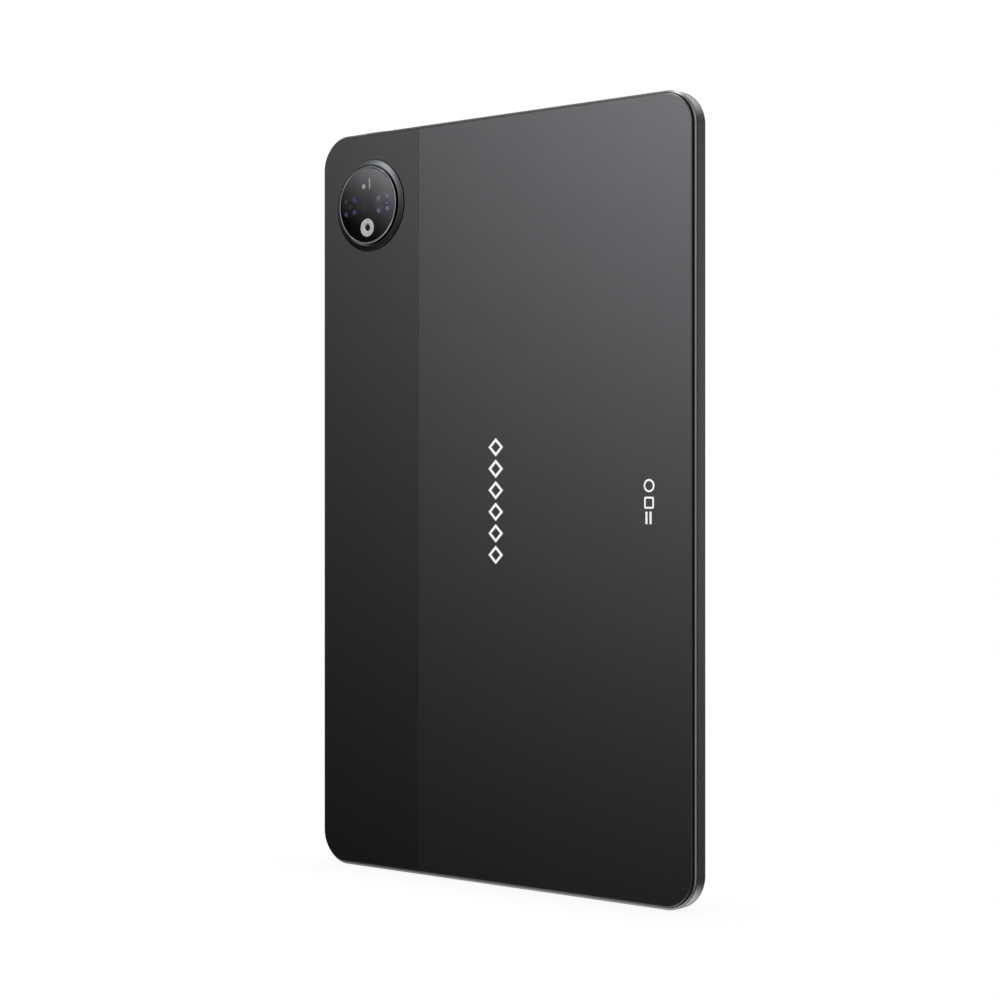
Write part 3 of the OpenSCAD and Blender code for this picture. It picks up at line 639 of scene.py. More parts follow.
def woven_finish():
    """Woven steel gauze dyed black: fine crossing wires that look dark grey from afar."""
    material, tree, shader = new_material("woven_steel_gauze")
    place = add_node(tree, "ShaderNodeTexCoord")
    wires = [add_node(tree, "ShaderNodeTexWave", {
        "Vector": place.outputs["Object"], "Scale": 1 / (WIRE_PITCH * MM) * ONE_WAVE},
        bands_direction=way) for way in ("X", "Y")]
    both = add_node(tree, "ShaderNodeMath", {
        0: wires[0].outputs["Fac"], 1: wires[1].outputs["Fac"]}, operation="MAXIMUM")
    tint = add_node(tree, "ShaderNodeMix", {
        0: both.outputs[0], 6: linear("#040404"), 7: linear("#5a5b5d")}, data_type="RGBA")
    relief = add_node(tree, "ShaderNodeBump", {"Height": both.outputs[0], "Distance": 0.08 * MM})
    feed(tree, shader, {
        "Base Color": tint.outputs[2], "Normal": relief.outputs[0], "Metallic": 0.8,
        "Roughness": 0.45})
    return material


def board_finish():
    """Green solder mask over copper tracks, which show as slightly lighter lines."""
    material, tree, shader = new_material("solder_masked_board")
    place = add_node(tree, "ShaderNodeTexCoord")
    tracks = add_node(tree, "ShaderNodeTexBrick", {
        "Vector": place.outputs["Object"], "Scale": 1 / (6 * MM), "Color1": linear("#0d3a22"),
        "Color2": linear("#12492b"), "Mortar": linear("#2a6b3f"), "Mortar Size": 0.03})
    noise = add_node(tree, "ShaderNodeTexNoise", grain(tree, 0.4))
    relief = add_node(tree, "ShaderNodeBump", {"Height": noise.outputs[0], "Distance": 0.01 * MM})
    feed(tree, shader, {
        "Base Color": tracks.outputs["Color"], "Normal": relief.outputs[0], "Roughness": 0.3})
    return material


# Inner finishes: colour, metallic, roughness, grain in mm and relief in mm
INNER = {
    "black_resin": ("#1a1a1c", 0.0, 0.5, 0.25, 0.01),
    "seal_rubber": ("#080808", 0.0, 0.65, 0.2, 0.01),
    "foam_rubber": ("#141414", 0.0, 0.85, 0.3, 0.05),
    "lcd_film": ("#101114", 0.0, 0.2, 2.0, 0.002),
    "clear_acrylic": ("#dfe6ea", 0.0, 0.12, 1.0, 0.002),
    "tray_alloy": ("#b4b5b7", 1.0, 0.35, 0.5, 0.005),
    "polyimide": ("#8a5a24", 0.0, 0.35, 0.8, 0.01),
    "led_phosphor": ("#0c0b07", 0.0, 0.45, 0.1, 0.005),
    "spring_steel": ("#a7a9ab", 1.0, 0.28, 0.2, 0.004),
    "tinned_steel": ("#b8babd", 1.0, 0.3, 0.25, 0.004),
    "chip_epoxy": ("#222326", 0.0, 0.6, 0.15, 0.01),
    "graphite_sheet": ("#3a3a3c", 0.3, 0.5, 0.6, 0.01),
    "pouch_foil": ("#8f9296", 0.9, 0.38, 1.5, 0.03),
    "switch_resin": ("#c9c9c4", 0.0, 0.5, 0.2, 0.01),
}


def inner_finish(slot):
    """The finish of an inner part: moulded, rolled, plated or foil, each with its own grain."""
    found = bpy.data.materials.get(slot + "_finish")
    if found:
        return found
    hex_colour, metallic, roughness, grain_mm, relief_mm = INNER[slot]
    sheen = 0.15 if "rubber" in slot else 0.5
    return surface(
        slot + "_finish", linear(hex_colour), metallic, roughness, grain_mm, relief_mm, tone=0.1,
        sheen=sheen)


def paint(node, material):
    """Gives a CAD node that stays in view its finish."""
    for place in frame["nodes"][node].material_slots:
        place.material = material


# ---------- levels and steps of the case, in millimetres ----------

# Steps in from the outline
WALL = 2.6
SKIRT_IN = 0.8
SEAT_IN = 1.0
RIM_IN = 0.66
RIM_OUT = 0.14
LINE_DEEP = 0.3
FRONT_LIP_IN = 0.3
PANEL_IN = 0.97
PLATE_IN = 2.5
# Levels through the thickness: the seal's groove, the bright rim, the fine line and the plate
SEAL_FLOOR = REAR_Y - 1.55
RIM_Y = REAR_Y - 0.96
RIM_LOW = REAR_Y - 1.21
EDGE_Y = REAR_Y - 1.24
LINE_TOP = REAR_Y - 1.26
LINE_LOW = REAR_Y - 1.56
FLAT_END = REAR_Y - 5.9
INNER_LIP = FRONT_Y + 1.85
PLATE_FRONT = FRONT_Y + 2.4
PLATE_REAR = PLATE_FRONT + 0.6
SEAL_TOP = REAR_Y - 0.22
# Sound holes: radius, pitch and number in a row
HOLE_R = 0.7
HOLE_PITCH = 2.8
HOLE_COUNT = 7
THROUGH = WALL + 0.1
# Rows of sound holes: middle in X, and whether the holes run upwards from the bottom edge
SPEAKERS = ((-53, True), (53, True), (-53, False), (19, False))
SCREWS = ((-70, 180), (-70, 210), (-64, 195), (36, 180), (36, 210), (-30, 24.5), (30, 24.5))
# Screw posts on the plate, and their bores
POST_R, POST_RISE, BORE_R = 1.9, 0.5, 0.7


def tube(name, outline, depth, flare, material, at, axis, extra=1.0):
    """A cutter with a flared mouth: outline as (a, b) points, driven in along an axis from its mouth.

    axis is "up" (+Z), "down" (-Z), "in_left" (+X) or "in_right" (-X)."""
    steps = ((-extra, flare), (0, flare), (flare, 0), (depth, 0))
    rings = []
    for run, grow in steps:
        ring = []
        for a, b in outline:
            reach = math.hypot(a, b)
            p, q = a * (1 + grow / reach), b * (1 + grow / reach)
            ring.append({
                "up": (at[0] + p, at[1] + q, at[2] + run),
                "down": (at[0] + p, at[1] + q, at[2] - run),
                "in_left": (at[0] + run, at[1] + q, at[2] + p),
                "in_right": (at[0] - run, at[1] + q, at[2] + p)}[axis])
        rings.append(ring)
    points, faces = loft(rings)
    return tidy(new_piece(name, points, faces, material))


def disc(radius, steps=32):
    return arc(0, 0, radius, 0, 360 - 360 / steps, steps - 1)


def slab_between(name, outline, low, high, material):
    points, faces = loft([lifted(outline, low), lifted(outline, high)])
    return tidy(new_piece(name, points, faces, material))


def rectangle(x0, x1, z0, z1):
    return [(x0, z0), (x1, z0), (x1, z1), (x0, z1)]


PLATE_POCKETS = (
    rectangle(-SHELL_HIGH.x - 0.4, SHELL_HIGH.x + 0.4, 1.6, SHELL_HIGH.z + 0.3),
    rectangle(-35, -11, 3.4, 4.8),
    rectangle(HALF_W - 8.2, HALF_W - 2.7, MID_Z - 2.8, MID_Z + 2.8))
# Openings in the edges: name, outline, depth, flare, middle of the mouth and way in
PORT_PLAY = 0.16
KEY_SLOT_T = 2.0
TRAY_REACH, TRAY_HALF_T, TRAY_SHIFT = 6.65, 0.55, 2.1
TRAY_OUTLINE = [(a + TRAY_SHIFT, b) for a, b in (
    (-TRAY_REACH, -TRAY_HALF_T), (TRAY_REACH, -TRAY_HALF_T), (TRAY_REACH, TRAY_HALF_T),
    (-TRAY_REACH, TRAY_HALF_T))]
USB_OUTLINE = stadium(SHELL_HIGH.x * 2 + PORT_PLAY, SHELL_HIGH.y - SHELL_LOW.y + PORT_PLAY)
DOOR_Z, PIN_Z, VOLUME_Z = 201, 193.2, 158
DOOR_DEPTH = 1.65
MOUTHS = (
    ("usb_mouth", USB_OUTLINE, THROUGH, 0.1, (0, PORT_Y, 0), "up"),
    ("power_mouth", stadium(10.2, KEY_SLOT_T), THROUGH, 0.06, (ISLAND_X, PORT_Y, CASE_H), "down"),
    ("rocker_mouth", stadium(24.3, KEY_SLOT_T), THROUGH, 0.06, (HALF_W, PORT_Y, VOLUME_Z), "in_right"),
    ("door_mouth", stadium(21.0, 2.8), DOOR_DEPTH, 0.04, (HALF_W, PORT_Y, DOOR_Z), "in_right"),
    ("tray_mouth", TRAY_OUTLINE, THROUGH, 0, (HALF_W - 1, PORT_Y, DOOR_Z), "in_right"),
    ("pin_bore", disc(0.7), THROUGH, 0, (HALF_W - 1, PORT_Y, PIN_Z), "in_right"),
    ("voice_hole", disc(0.45), THROUGH, 0.08,
     (-HALF_W, MIC_HIGH.y - 0.9, (MIC_LOW.z + MIC_HIGH.z) / 2), "in_left"))


class TABLET_OT_case_frame(bpy.types.Operator):
    """Side frame with its mid-plate, its bright rim and every opening in its edges"""
    bl_idname = "tablet.case_frame"
    bl_label = "Case frame"

    def execute(self, context):
        case, finish = settings()[:2]
        side = anodised_frame("blasted_anodised_frame", finish.side)
        rim = bright_cut("diamond_cut_rim", finish.rim, 0.08)
        section = [
            (WALL, LEDGE_Y), (SEAT_IN, LEDGE_Y), (SEAT_IN, SEAL_FLOOR), (RIM_IN, SEAL_FLOOR),
            (RIM_IN, RIM_Y), (RIM_OUT, RIM_LOW), (0, EDGE_Y), (0, LINE_TOP), (LINE_DEEP, LINE_TOP),
            (LINE_DEEP, LINE_LOW), (0, LINE_LOW), (0, FLAT_END), (FRONT_LIP_IN, FLAT_END - 0.3),
            (SKIRT_IN, FLAT_END - 0.3), (SKIRT_IN, INNER_LIP), (WALL, INNER_LIP)]
        body = carried("case_frame", section, side, radius=case.edge_round / MM)
        outline = case_outline(PLATE_IN, case.corner_radius / MM)
        plate = slab_between("mid_plate", outline, PLATE_FRONT, PLATE_REAR, side)
        for outline in PLATE_POCKETS:
            cut(plate, slab_between("pocket", outline, PLATE_FRONT - 1, PLATE_REAR + 1, side))
        cut(body, plate, operation="UNION")
        for x, z in SCREWS:
            post = [(x + a, z + b) for a, b in disc(POST_R, 24)]
            post = slab_between("post", post, PLATE_FRONT + 0.1, PLATE_REAR + POST_RISE, side)
            cut(body, post, operation="UNION")
        for x, z in SCREWS:
            bore = [(x + a, z + b) for a, b in disc(BORE_R, 16)]
            cut(body, slab_between("bore", bore, PLATE_FRONT - 1, PLATE_REAR + 1, side))
        flare = case.mouth_flare / MM
        for x, up in SPEAKERS:
            hole = tube(
                "sound_hole", disc(HOLE_R), THROUGH, flare, side, (0, 0, 0), "up" if up else "down")
            first = x - HOLE_PITCH * (HOLE_COUNT - 1) / 2
            run_tree(
                hole, row_tree("sound_hole_row", side), count=HOLE_COUNT,
                start=Vector((first, PORT_Y, 0 if up else CASE_H)) * MM,
                step=Vector((HOLE_PITCH, 0, 0)) * MM)
            cut(body, hole)
        for name, outline, depth, flare, place, axis in MOUTHS:
            cut(body, tube(name, outline, depth, flare, side, place, axis))
        tidy(body)
        body.data.materials.clear()
        for material in (side, rim):
            body.data.materials.append(material)
        for face in body.data.polygons:
            level = face.center.y / MM
            bright = face.normal.y > 0.7 and RIM_LOW - 0.02 < level < RIM_Y + 0.02
            face.material_index = 1 if bright and inset_of(face.center) < RIM_IN + 0.02 else 0
        keep(body, "root", "frame_alloy", "mid_frame")
        bead = carried("rear_bead", [
            (PANEL_IN - 0.02, SEAL_FLOOR + 0.02), (PANEL_IN - 0.02, SEAL_TOP),
            (PANEL_IN - 0.1, SEAL_TOP), (RIM_IN + 0.02, RIM_Y + 0.04),
            (RIM_IN + 0.02, SEAL_FLOOR + 0.02)], inner_finish("seal_rubber"), radius=0.03)
        keep(bead, "root", "seal_rubber", "rear_seal")
        paint("front_bezel", inner_finish("black_resin"))
        return {"FINISHED"}


def inset_of(point):
    """How far a point lies inside the case's outline, in millimetres."""
    corner = settings()[0].corner_radius / MM
    across = abs(point.x / MM) - (HALF_W - corner)
    upward = abs(point.z / MM - MID_Z) - (MID_Z - corner)
    if across > 0 and upward > 0:
        return corner - math.hypot(across, upward)
    return corner - max(across, upward)


def skin_outline(inset, seam, side, corner):
    """Half of the rear skin's outline: from the seam round the two corners on one side."""
    r, cx = corner - inset, side * (HALF_W - corner)
    start, low, high = 270, (360 if side > 0 else 180), (0 if side > 0 else 180)
    lower = arc(cx, corner, r, start, low, CORNER_STEPS)
    upper = arc(cx, CASE_H - corner, r, high, 90, CORNER_STEPS)
    return [(seam, inset)] + lower + upper + [(seam, CASE_H - inset)]


def skin(name, seam, side, material, case):
    """One part of the rear skin, with its bevelled outer edge and a small rounding on the seam."""
    soft = case.seam_round / MM
    levels = (
        (PANEL_IN, 0, LEDGE_Y), (PANEL_IN, 0, REAR_Y - 0.15), (PANEL_IN + 0.015, 0, REAR_Y - 0.115),
        (PANEL_IN + 0.16, 0, REAR_Y - soft), (PANEL_IN + 0.29, 0.3, REAR_Y - soft * 0.3),
        (PANEL_IN + 0.34, 1, REAR_Y))
    rings = []
    for inset, share, level in levels:
        edge = seam + side * soft * share
        rings.append(lifted(skin_outline(inset, edge, side, case.corner_radius / MM), level))
    points, faces = loft(rings)
    return tidy(new_piece(name, points, faces, material))


class TABLET_OT_rear_skin(bpy.types.Operator):
    """Anodised rear panel and the coated strip beside it, with the island's opening"""
    bl_idname = "tablet.rear_skin"
    bl_label = "Rear skin"

    def execute(self, context):
        case, finish, stage = settings()
        panel = anodised_panel("satin_anodised_panel", finish.panel)
        strip = anodised_panel("satin_coated_strip", finish.strip)
        rear = skin("rear_panel", SEAM_X - SEAM_GAP, -1, panel, case)
        keep(rear, "root", "rear_panel_alloy", "rear_cover")
        band = skin("rear_band", SEAM_X + SEAM_GAP, 1, strip, case)
        opening = (BASE_HIGH.x - BASE_LOW.x) / 2 + OPENING_PLAY
        rings = []
        for level, grow in ((LEDGE_Y - 1, 0), (REAR_Y - 0.06, 0), (REAR_Y, 0.06), (REAR_Y + 1, 0.06)):
            ring = [(ISLAND_X + a, ISLAND_Z + b) for a, b in disc(opening + grow, 128)]
            rings.append(lifted(ring, level))
        points, faces = loft(rings)
        cut(band, tidy(new_piece("opening", points, faces, strip)))
        lap = rectangle(SEAM_X - 3.9, SEAM_X + 3, 32, CASE_H - 52)
        lap = slab_between("seam_lap", lap, LEDGE_Y - 0.2, LEDGE_Y, strip)
        cut(band, lap, operation="UNION")
        keep(tidy(band), "root", "rear_strip_resin", "rear_strip")
        return {"FINISHED"}


class TABLET_OT_front_glass(bpy.types.Operator):
    """Cover glass with its rounded edge"""
    bl_idname = "tablet.front_glass"
    bl_label = "Front glass"

    def execute(self, context):
        case = settings()[0]
        inset = GLASS_LOW.x - CASE_LOW.x
        edge, steps = 0.35, 8
        levels = [(inset + 0.04, GLASS_HIGH.y), (inset, GLASS_HIGH.y - 0.04)]
        for i in range(steps + 1):
            a = math.pi / 2 * i / steps
            levels.append((inset + edge * (1 - math.cos(a)), FRONT_Y + edge * (1 - math.sin(a))))
        corner = case.corner_radius / MM
        rings = [lifted(case_outline(step, corner), level) for step, level in levels]
        points, faces = loft(rings)
        glass = tidy(new_piece("front_glass", points, faces, screen_finish()))
        keep(glass, "root", "cover_glass", "cover_glass")
        return {"FINISHED"}


LENS_R = 3.9


class TABLET_OT_camera_island(bpy.types.Operator):
    """Stepped base ring, bright ring, printed glass and the lenses behind it"""
    bl_idname = "tablet.camera_island"
    bl_label = "Camera island"

    def execute(self, context):
        finish = settings()[1]
        centre = (ISLAND_X, ISLAND_Z)
        outer = (BASE_HIGH.x - BASE_LOW.x) / 2
        ring_r = (RING_HIGH.x - RING_LOW.x) / 2
        glass_r = (WINDOW_HIGH.x - WINDOW_LOW.x) / 2
        top, glass_top, glass_low = RING_HIGH.y, WINDOW_HIGH.y, WINDOW_LOW.y
        floor, bore, seat = RING_LOW.y, 10.5, 11.4
        wall_top, slope_top, slope_end = REAR_Y + 0.35, REAR_Y + 0.9, ring_r + 0.6
        shine = surface(
            "satin_anodised_island", finish.island, 1.0, 0.28, 0.2, 0.003, spread=0.03, tone=0.03)
        base = turned("island_base", [
            (bore, BASE_LOW.y), (outer, BASE_LOW.y), (outer, wall_top), (slope_end, slope_top),
            (slope_end, floor), (bore, floor)], centre, shine, radius=0.06)
        # Painted shade: the steep outer walls of the base and of the bright ring take a near-black
        # finish for the shaded gaps beside the rings
        wall = painted_shade_black()
        base.data.materials.append(wall)
        for face in base.data.polygons:
            face.material_index = 1 if face.center.y / MM < wall_top - 0.01 else 0
        keep(base, "root", "island_alloy", "camera_base_ring")
        play, gasket_low, gasket_top = OPENING_PLAY - 0.01, LEDGE_Y + 0.02, REAR_Y - 0.2
        gasket = turned("island_gasket", [
            (outer + 0.01, gasket_low), (outer + play, gasket_low), (outer + play, gasket_top),
            (outer + 0.01, gasket_top)], centre, inner_finish("seal_rubber"))
        keep(gasket, "root", "seal_rubber")
        bright = bright_cut("turned_bright_ring", finish.bright_ring, 0.06)
        ring = turned("island_bright_ring", [
            (seat, floor), (ring_r, floor), (ring_r, top - 0.2), (ring_r - 0.2, top),
            (glass_r + 0.22, top), (glass_r + 0.1, top - 0.12), (glass_r + 0.1, glass_low),
            (seat, glass_low)], centre, bright, radius=0.05)
        # The bright ring's outer wall takes the same painted shade
        ring.data.materials.append(wall)
        for face in ring.data.polygons:
            face.material_index = 0 if face.center.y / MM > top - 0.24 else 1
        keep(ring, "root", "bright_ring_alloy", "camera_bezel_ring")
        glass = turned("island_glass", [
            (0.001, glass_low), (glass_r, glass_low), (glass_r, glass_top - 0.05),
            (glass_r - 0.05, glass_top), (0.001, glass_top)], centre, island_glass_finish(), radius=0.02)
        flash_z = (FLASH_LOW.z + FLASH_HIGH.z) / 2
        flash_r = (FLASH_HIGH.x - FLASH_LOW.x) / 2
        hole = [(ISLAND_X + a, flash_z + b) for a, b in disc(flash_r + 0.03, 64)]
        cut(glass, slab_between("flash_hole", hole, glass_low - 1, glass_top + 1, wall))
        keep(tidy(glass), "root", "window_glass", "camera_window")
        # Painted glints: soft violet and grey spots, as (across, up, radius, colour), stand for
        # reflections of the studio lights in the two lens coatings
        deep, soft = "#3e3c62", "#5f5d78"
        lenses = (
            ("main_lens", 8.2, (
                (-2.1, 2.1, 1.2, "#353838"), (2.1, 2.5, 1.5, deep), (-2.1, -2.6, 1.4, deep),
                (2.1, -2.0, 1.4, deep), (0.2, 0.2, 1.2, "#2c2f33"))),
            ("second_lens", -7.5, (
                (1.6, -1.2, 3.4, "#33333f"), (-2.1, 2.1, 1.5, soft), (2.2, 2.6, 1.3, "#606070"),
                (-2.0, -2.3, 1.3, soft), (2.2, -1.8, 1.3, "#66667a"), (2.0, 0.7, 1.2, deep),
                (1.9, 0.0, 0.4, "#8a8a98"))))
        for name, offset, painted_glints in lenses:
            place = (ISLAND_X + offset, ISLAND_Z - 0.1)
            lens = turned(name, [
                (0.001, glass_top + 0.002), (LENS_R, glass_top + 0.002), (LENS_R, glass_top + 0.006),
                (LENS_R - 0.2, glass_top + 0.02), (0.001, glass_top + 0.05)], place,
                lens_finish("coated_" + name, place, painted_glints), steps=64, radius=0.002)
            keep(lens, "root", "window_glass")
        return {"FINISHED"}


class TABLET_OT_flash(bpy.types.Operator):
    """Flash diffuser ring and the emitter in its middle"""
    bl_idname = "tablet.flash"
    bl_label = "Flash"

    def execute(self, context):
        low, top = FLASH_LOW.y, FLASH_HIGH.y
        outer, inner = (FLASH_HIGH.x - FLASH_LOW.x) / 2, 1.15
        centre = (ISLAND_X, (FLASH_LOW.z + FLASH_HIGH.z) / 2)
        ring = turned("flash_diffuser", [
            (inner, low), (outer, low), (outer, top - 0.06), (outer - 0.12, top + 0.03),
            (inner + 0.35, top + 0.03), (inner, top - 0.3)],
            centre, diffuser_finish(), steps=96, radius=0.06)
        keep(ring, "root", "flash_diffuser", "flash_ring")
        paint("flash_led", inner_finish("led_phosphor"))
        return {"FINISHED"}


class TABLET_OT_ports(bpy.types.Operator):
    """Connector shell, tongue and contact pads, and the gauze behind the sound holes"""
    bl_idname = "tablet.ports"
    bl_label = "Ports"

    def execute(self, context):
        shell = bevelled_copy("usb_c_shell", "port_shell", 0.06, inner_finish("tinned_steel"))
        keep(shell, "root", "tinned_steel", "usb_c_shell")
        tongue = bevelled_copy("usb_c_tongue", "port_tongue", 0.12, inner_finish("black_resin"))
        keep(tongue, "root", "black_resin", "usb_c_tongue")
        gold = surface("gold_plated_contact", linear("#c9a24a"), 1.0, 0.22, 0.1, 0.001)
        pitch, count, pad_w, pad_t = 0.5, 12, 0.12, 0.03
        for name, side in (("contacts_rear", 1), ("contacts_front", -1)):
            level = PORT_Y + side * (TONGUE_HIGH.y - TONGUE_LOW.y) / 2
            rings = []
            for lift, shrink in ((-0.01, 0), (pad_t * 0.6, 0), (pad_t, 0.03)):
                ring = rectangle(-pad_w + shrink, pad_w - shrink, shrink, 3.6 - shrink)
                rings.append([(x, side * lift, z) for x, z in ring])
            points, faces = loft(rings)
            pads = row(name, points, faces, gold, count,
                       (-pitch * (count - 1) / 2, level, TONGUE_LOW.z + 0.4), (pitch, 0, 0))
            keep(tidy(pads), "root", "tinned_steel")
        paint("speaker_meshes", woven_finish())
        return {"FINISHED"}


class TABLET_OT_controls(bpy.types.Operator):
    """Power button, volume rocker and card tray"""
    bl_idname = "tablet.controls"
    bl_label = "Controls"

    def execute(self, context):
        finish = settings()[1]
        key = anodised_frame("blasted_anodised_key", finish.side)
        for node, name, width in (
                ("power_button", "power_key", 0.14), ("volume_rocker", "volume_key", 0.14),
                ("sim_tray", "card_tray", 0.05)):
            keep(bevelled_copy(node, name, width, key), node, "button_alloy", node)
        return {"FINISHED"}


def flat_mark(name, rings, level, material):
    """A thin inked shape from an outer and, where it has one, an inner outline."""
    top = level + settings()[0].mark_height / MM
    loops = [lifted(rings[0], level), lifted(rings[0], top)]
    if len(rings) == 1:
        return loft(loops)
    loops += [lifted(rings[1], top), lifted(rings[1], level)]
    return loft(loops + [loops[0]], cap=False)


class TABLET_OT_marks(bpy.types.Operator):
    """Plain printed shapes on the rear skin and on the camera glass"""
    bl_idname = "tablet.marks"
    bl_label = "Marks"

    def execute(self, context):
        finish = settings()[1]
        ink = printing_ink("white_printing_ink", finish.ink, 0.45)
        half_w, half_h, stroke = 3.2, 3.1, 1.25
        outer = [(half_w, 0), (0, half_h), (-half_w, 0), (0, -half_h)]
        inner = [(x * (1 - stroke / half_w), z * (1 - stroke / half_w)) for x, z in outer]
        points, faces = flat_mark("rhombus", [outer, inner], REAR_Y, ink)
        count, pitch = 6, 7.2
        run = row("centre_rhombi", points, faces, ink, count, (-0.1, 0, 110.7), (0, 0, pitch))
        keep(tidy(run), "root", "rear_panel_alloy")
        x = -63.5
        shapes = (
            ("small_ring", [[(x + a, 133.6 + b) for a, b in disc(2.1, 32)],
                            [(x + a, 133.6 + b) for a, b in disc(1.5, 32)]]),
            ("small_square", [rounded_square(x, 128.2, 1.9, 0.5), rounded_square(x, 128.2, 1.3, 0.3)]),
            ("small_bar", [rounded_square(x - 0.6, 123.4, 0.4, 0.2, 2.0)]),
            ("small_bar_two", [rounded_square(x + 1.0, 123.4, 0.4, 0.2, 2.0)]))
        for name, rings in shapes:
            points, faces = flat_mark(name, rings, REAR_Y, ink)
            keep(tidy(new_piece(name, points, faces, ink)), "root", "rear_panel_alloy")
        grey = printing_ink("grey_printing_ink", finish.faint_ink, 0.5)
        glass_top = WINDOW_HIGH.y
        spots = (
            ("glass_dot", [[(ISLAND_X + 1.6 + a, ISLAND_Z + 6.6 + b) for a, b in disc(0.85, 24)]]),
            ("glass_bar", [rounded_square(ISLAND_X - 1.2, ISLAND_Z + 7.4, 0.3, 0.2, 1.9)]))
        for name, rings in spots:
            points, faces = flat_mark(name, rings, glass_top, grey)
            keep(tidy(new_piece(name, points, faces, grey)), "root", "window_glass")
        return {"FINISHED"}


def rounded_square(x, z, half, corner, tall=None):
    """A small square or bar with rounded corners, as (x, z) points."""
    upward = tall or half
    points = []
    for sx, sz, start in ((1, 1, 0), (-1, 1, 90), (-1, -1, 180), (1, -1, 270)):
        points += arc(x + sx * (half - corner), z + sz * (upward - corner), corner, start, start + 90, 6)
    return points


class TABLET_OT_inner_parts(bpy.types.Operator):
    """Finishes of the parts that stay as packed: boards, cells, cameras, flexes and screws"""
    bl_idname = "tablet.inner_parts"
    bl_label = "Inner parts"

    def execute(self, context):
        own = {"circuit_board": board_finish()}
        done = {"front_bezel", "flash_led", "speaker_meshes"}
        for part in frame["record"]["subparts"]:
            node, slot = part["node"], part["material_slot"]
            if node in done or frame["nodes"][node].hide_render:
                continue
            paint(node, own.get(slot) or inner_finish(slot))
        return {"FINISHED"}


# ---------- stage ----------

CAMERA_PLACE = (-0.48154, 0.57441, 0.12905)
CAMERA_TURN = 40.036
CAMERA_LENS = 80.4
LAMP_PLACE = (-0.1, 0.85, 1.1)
LAMP_SIZE = 0.5

# Shape of the studio: angles round the object from +X, in radians, and heights as sines
CLIMB, CLIMB_CURVE = (-0.3, 0.7), 2.4
CARD_ANGLES, CARD_LEVELS = (0.72, 1.03), (0.2, 2.2)
GAP_ANGLES, GAP_LEVEL = (1.08, 1.28), 0.12
RIM_ANGLES = (1.64, 1.78)
BELOW = (-0.45, -0.7)
FAR_SIDE = (-0.3, -0.75)
FAR_HEIGHTS = (0.38, 0.85)
SIDE_LOW, SIDE_HIGH = (-0.18, 0.03, 0.1, 1.0), (0.03, 0.22, 1.0, 0.4)
LEFT_FROM, LEFT_TO = (-0.6, -0.4), (-0.1, 0.05)


def studio_world(stage):
    """A soft studio: white behind, and for reflections soft cards round the object.

    Light climbs from the floor upwards in front of the skin and a dark gap lies beside it. Then
    come an even card for the rim, a low one for the left edge, and pale ones over the far side."""
    world = bpy.data.worlds.new("soft_studio")
    world.use_nodes = True
    tree = world.node_tree
    tree.nodes.clear()
    place = add_node(tree, "ShaderNodeTexCoord")
    parts = add_node(tree, "ShaderNodeSeparateXYZ", {0: place.outputs["Generated"]})
    up, depth = parts.outputs["Z"], parts.outputs["Y"]
    turn = add_node(
        tree, "ShaderNodeMath", {0: depth, 1: parts.outputs["X"]}, operation="ARCTAN2").outputs[0]
    height = add_node(tree, "ShaderNodeMath", {0: up}, operation="ABSOLUTE").outputs[0]
    levels = {}
    ramps = (
        ("climb", up, (*CLIMB, 0, 1), "LINEAR"),
        ("card", turn, (*CARD_ANGLES, *CARD_LEVELS), "LINEAR"),
        ("gap", turn, (*GAP_ANGLES, 1, GAP_LEVEL), "SMOOTHSTEP"),
        ("rim", turn, (*RIM_ANGLES, 0, stage.rim), "SMOOTHSTEP"),
        ("bounce", up, (*BELOW, 0, stage.bottom), "SMOOTHSTEP"),
        ("left", turn, (*LEFT_FROM, 0, 1), "SMOOTHSTEP"),
        ("left_end", turn, (*LEFT_TO, stage.left, 0), "SMOOTHSTEP"),
        ("side", up, SIDE_LOW, "LINEAR"),
        ("side_top", up, SIDE_HIGH, "LINEAR"),
        ("far", height, (*FAR_HEIGHTS, 0, stage.far), "SMOOTHSTEP"),
        ("share", depth, (*FAR_SIDE, 0, 1), "SMOOTHSTEP"))
    for name, value, limits, shape in ramps:
        inputs = dict(zip(("From Min", "From Max", "To Min", "To Max"), limits), Value=value)
        levels[name] = add_node(
            tree, "ShaderNodeMapRange", inputs, interpolation_type=shape).outputs[0]
    sums = (
        ("climb", "POWER", CLIMB_CURVE), ("climb", "MULTIPLY", stage.front),
        ("climb", "MINIMUM", stage.top), ("climb", "MULTIPLY", "card"),
        ("climb", "MULTIPLY", "gap"), ("climb", "ADD", "rim"), ("climb", "ADD", "bounce"),
        ("left", "MULTIPLY", "left_end"), ("climb", "ADD", "left"),
        ("side", "MULTIPLY", "side_top"), ("side", "MULTIPLY", stage.side), ("side", "ADD", "far"))
    for name, operation, other in sums:
        levels[name] = add_node(tree, "ShaderNodeMath", {
            0: levels[name], 1: levels.get(other, other)}, operation=operation).outputs[0]
    total = add_node(tree, "ShaderNodeMix", {
        0: levels["share"], 2: levels["climb"], 3: levels["side"]}, data_type="FLOAT")
    seen = add_node(tree, "ShaderNodeLightPath")
    level = add_node(tree, "ShaderNodeMix", {
        0: seen.outputs["Is Camera Ray"], 2: total.outputs[0], 3: 1.0}, data_type="FLOAT")
    light = add_node(tree, "ShaderNodeBackground", {"Color": (1, 1, 1, 1), "Strength": level.outputs[0]})
    add_node(tree, "ShaderNodeOutputWorld", {"Surface": light.outputs[0]})
    return world


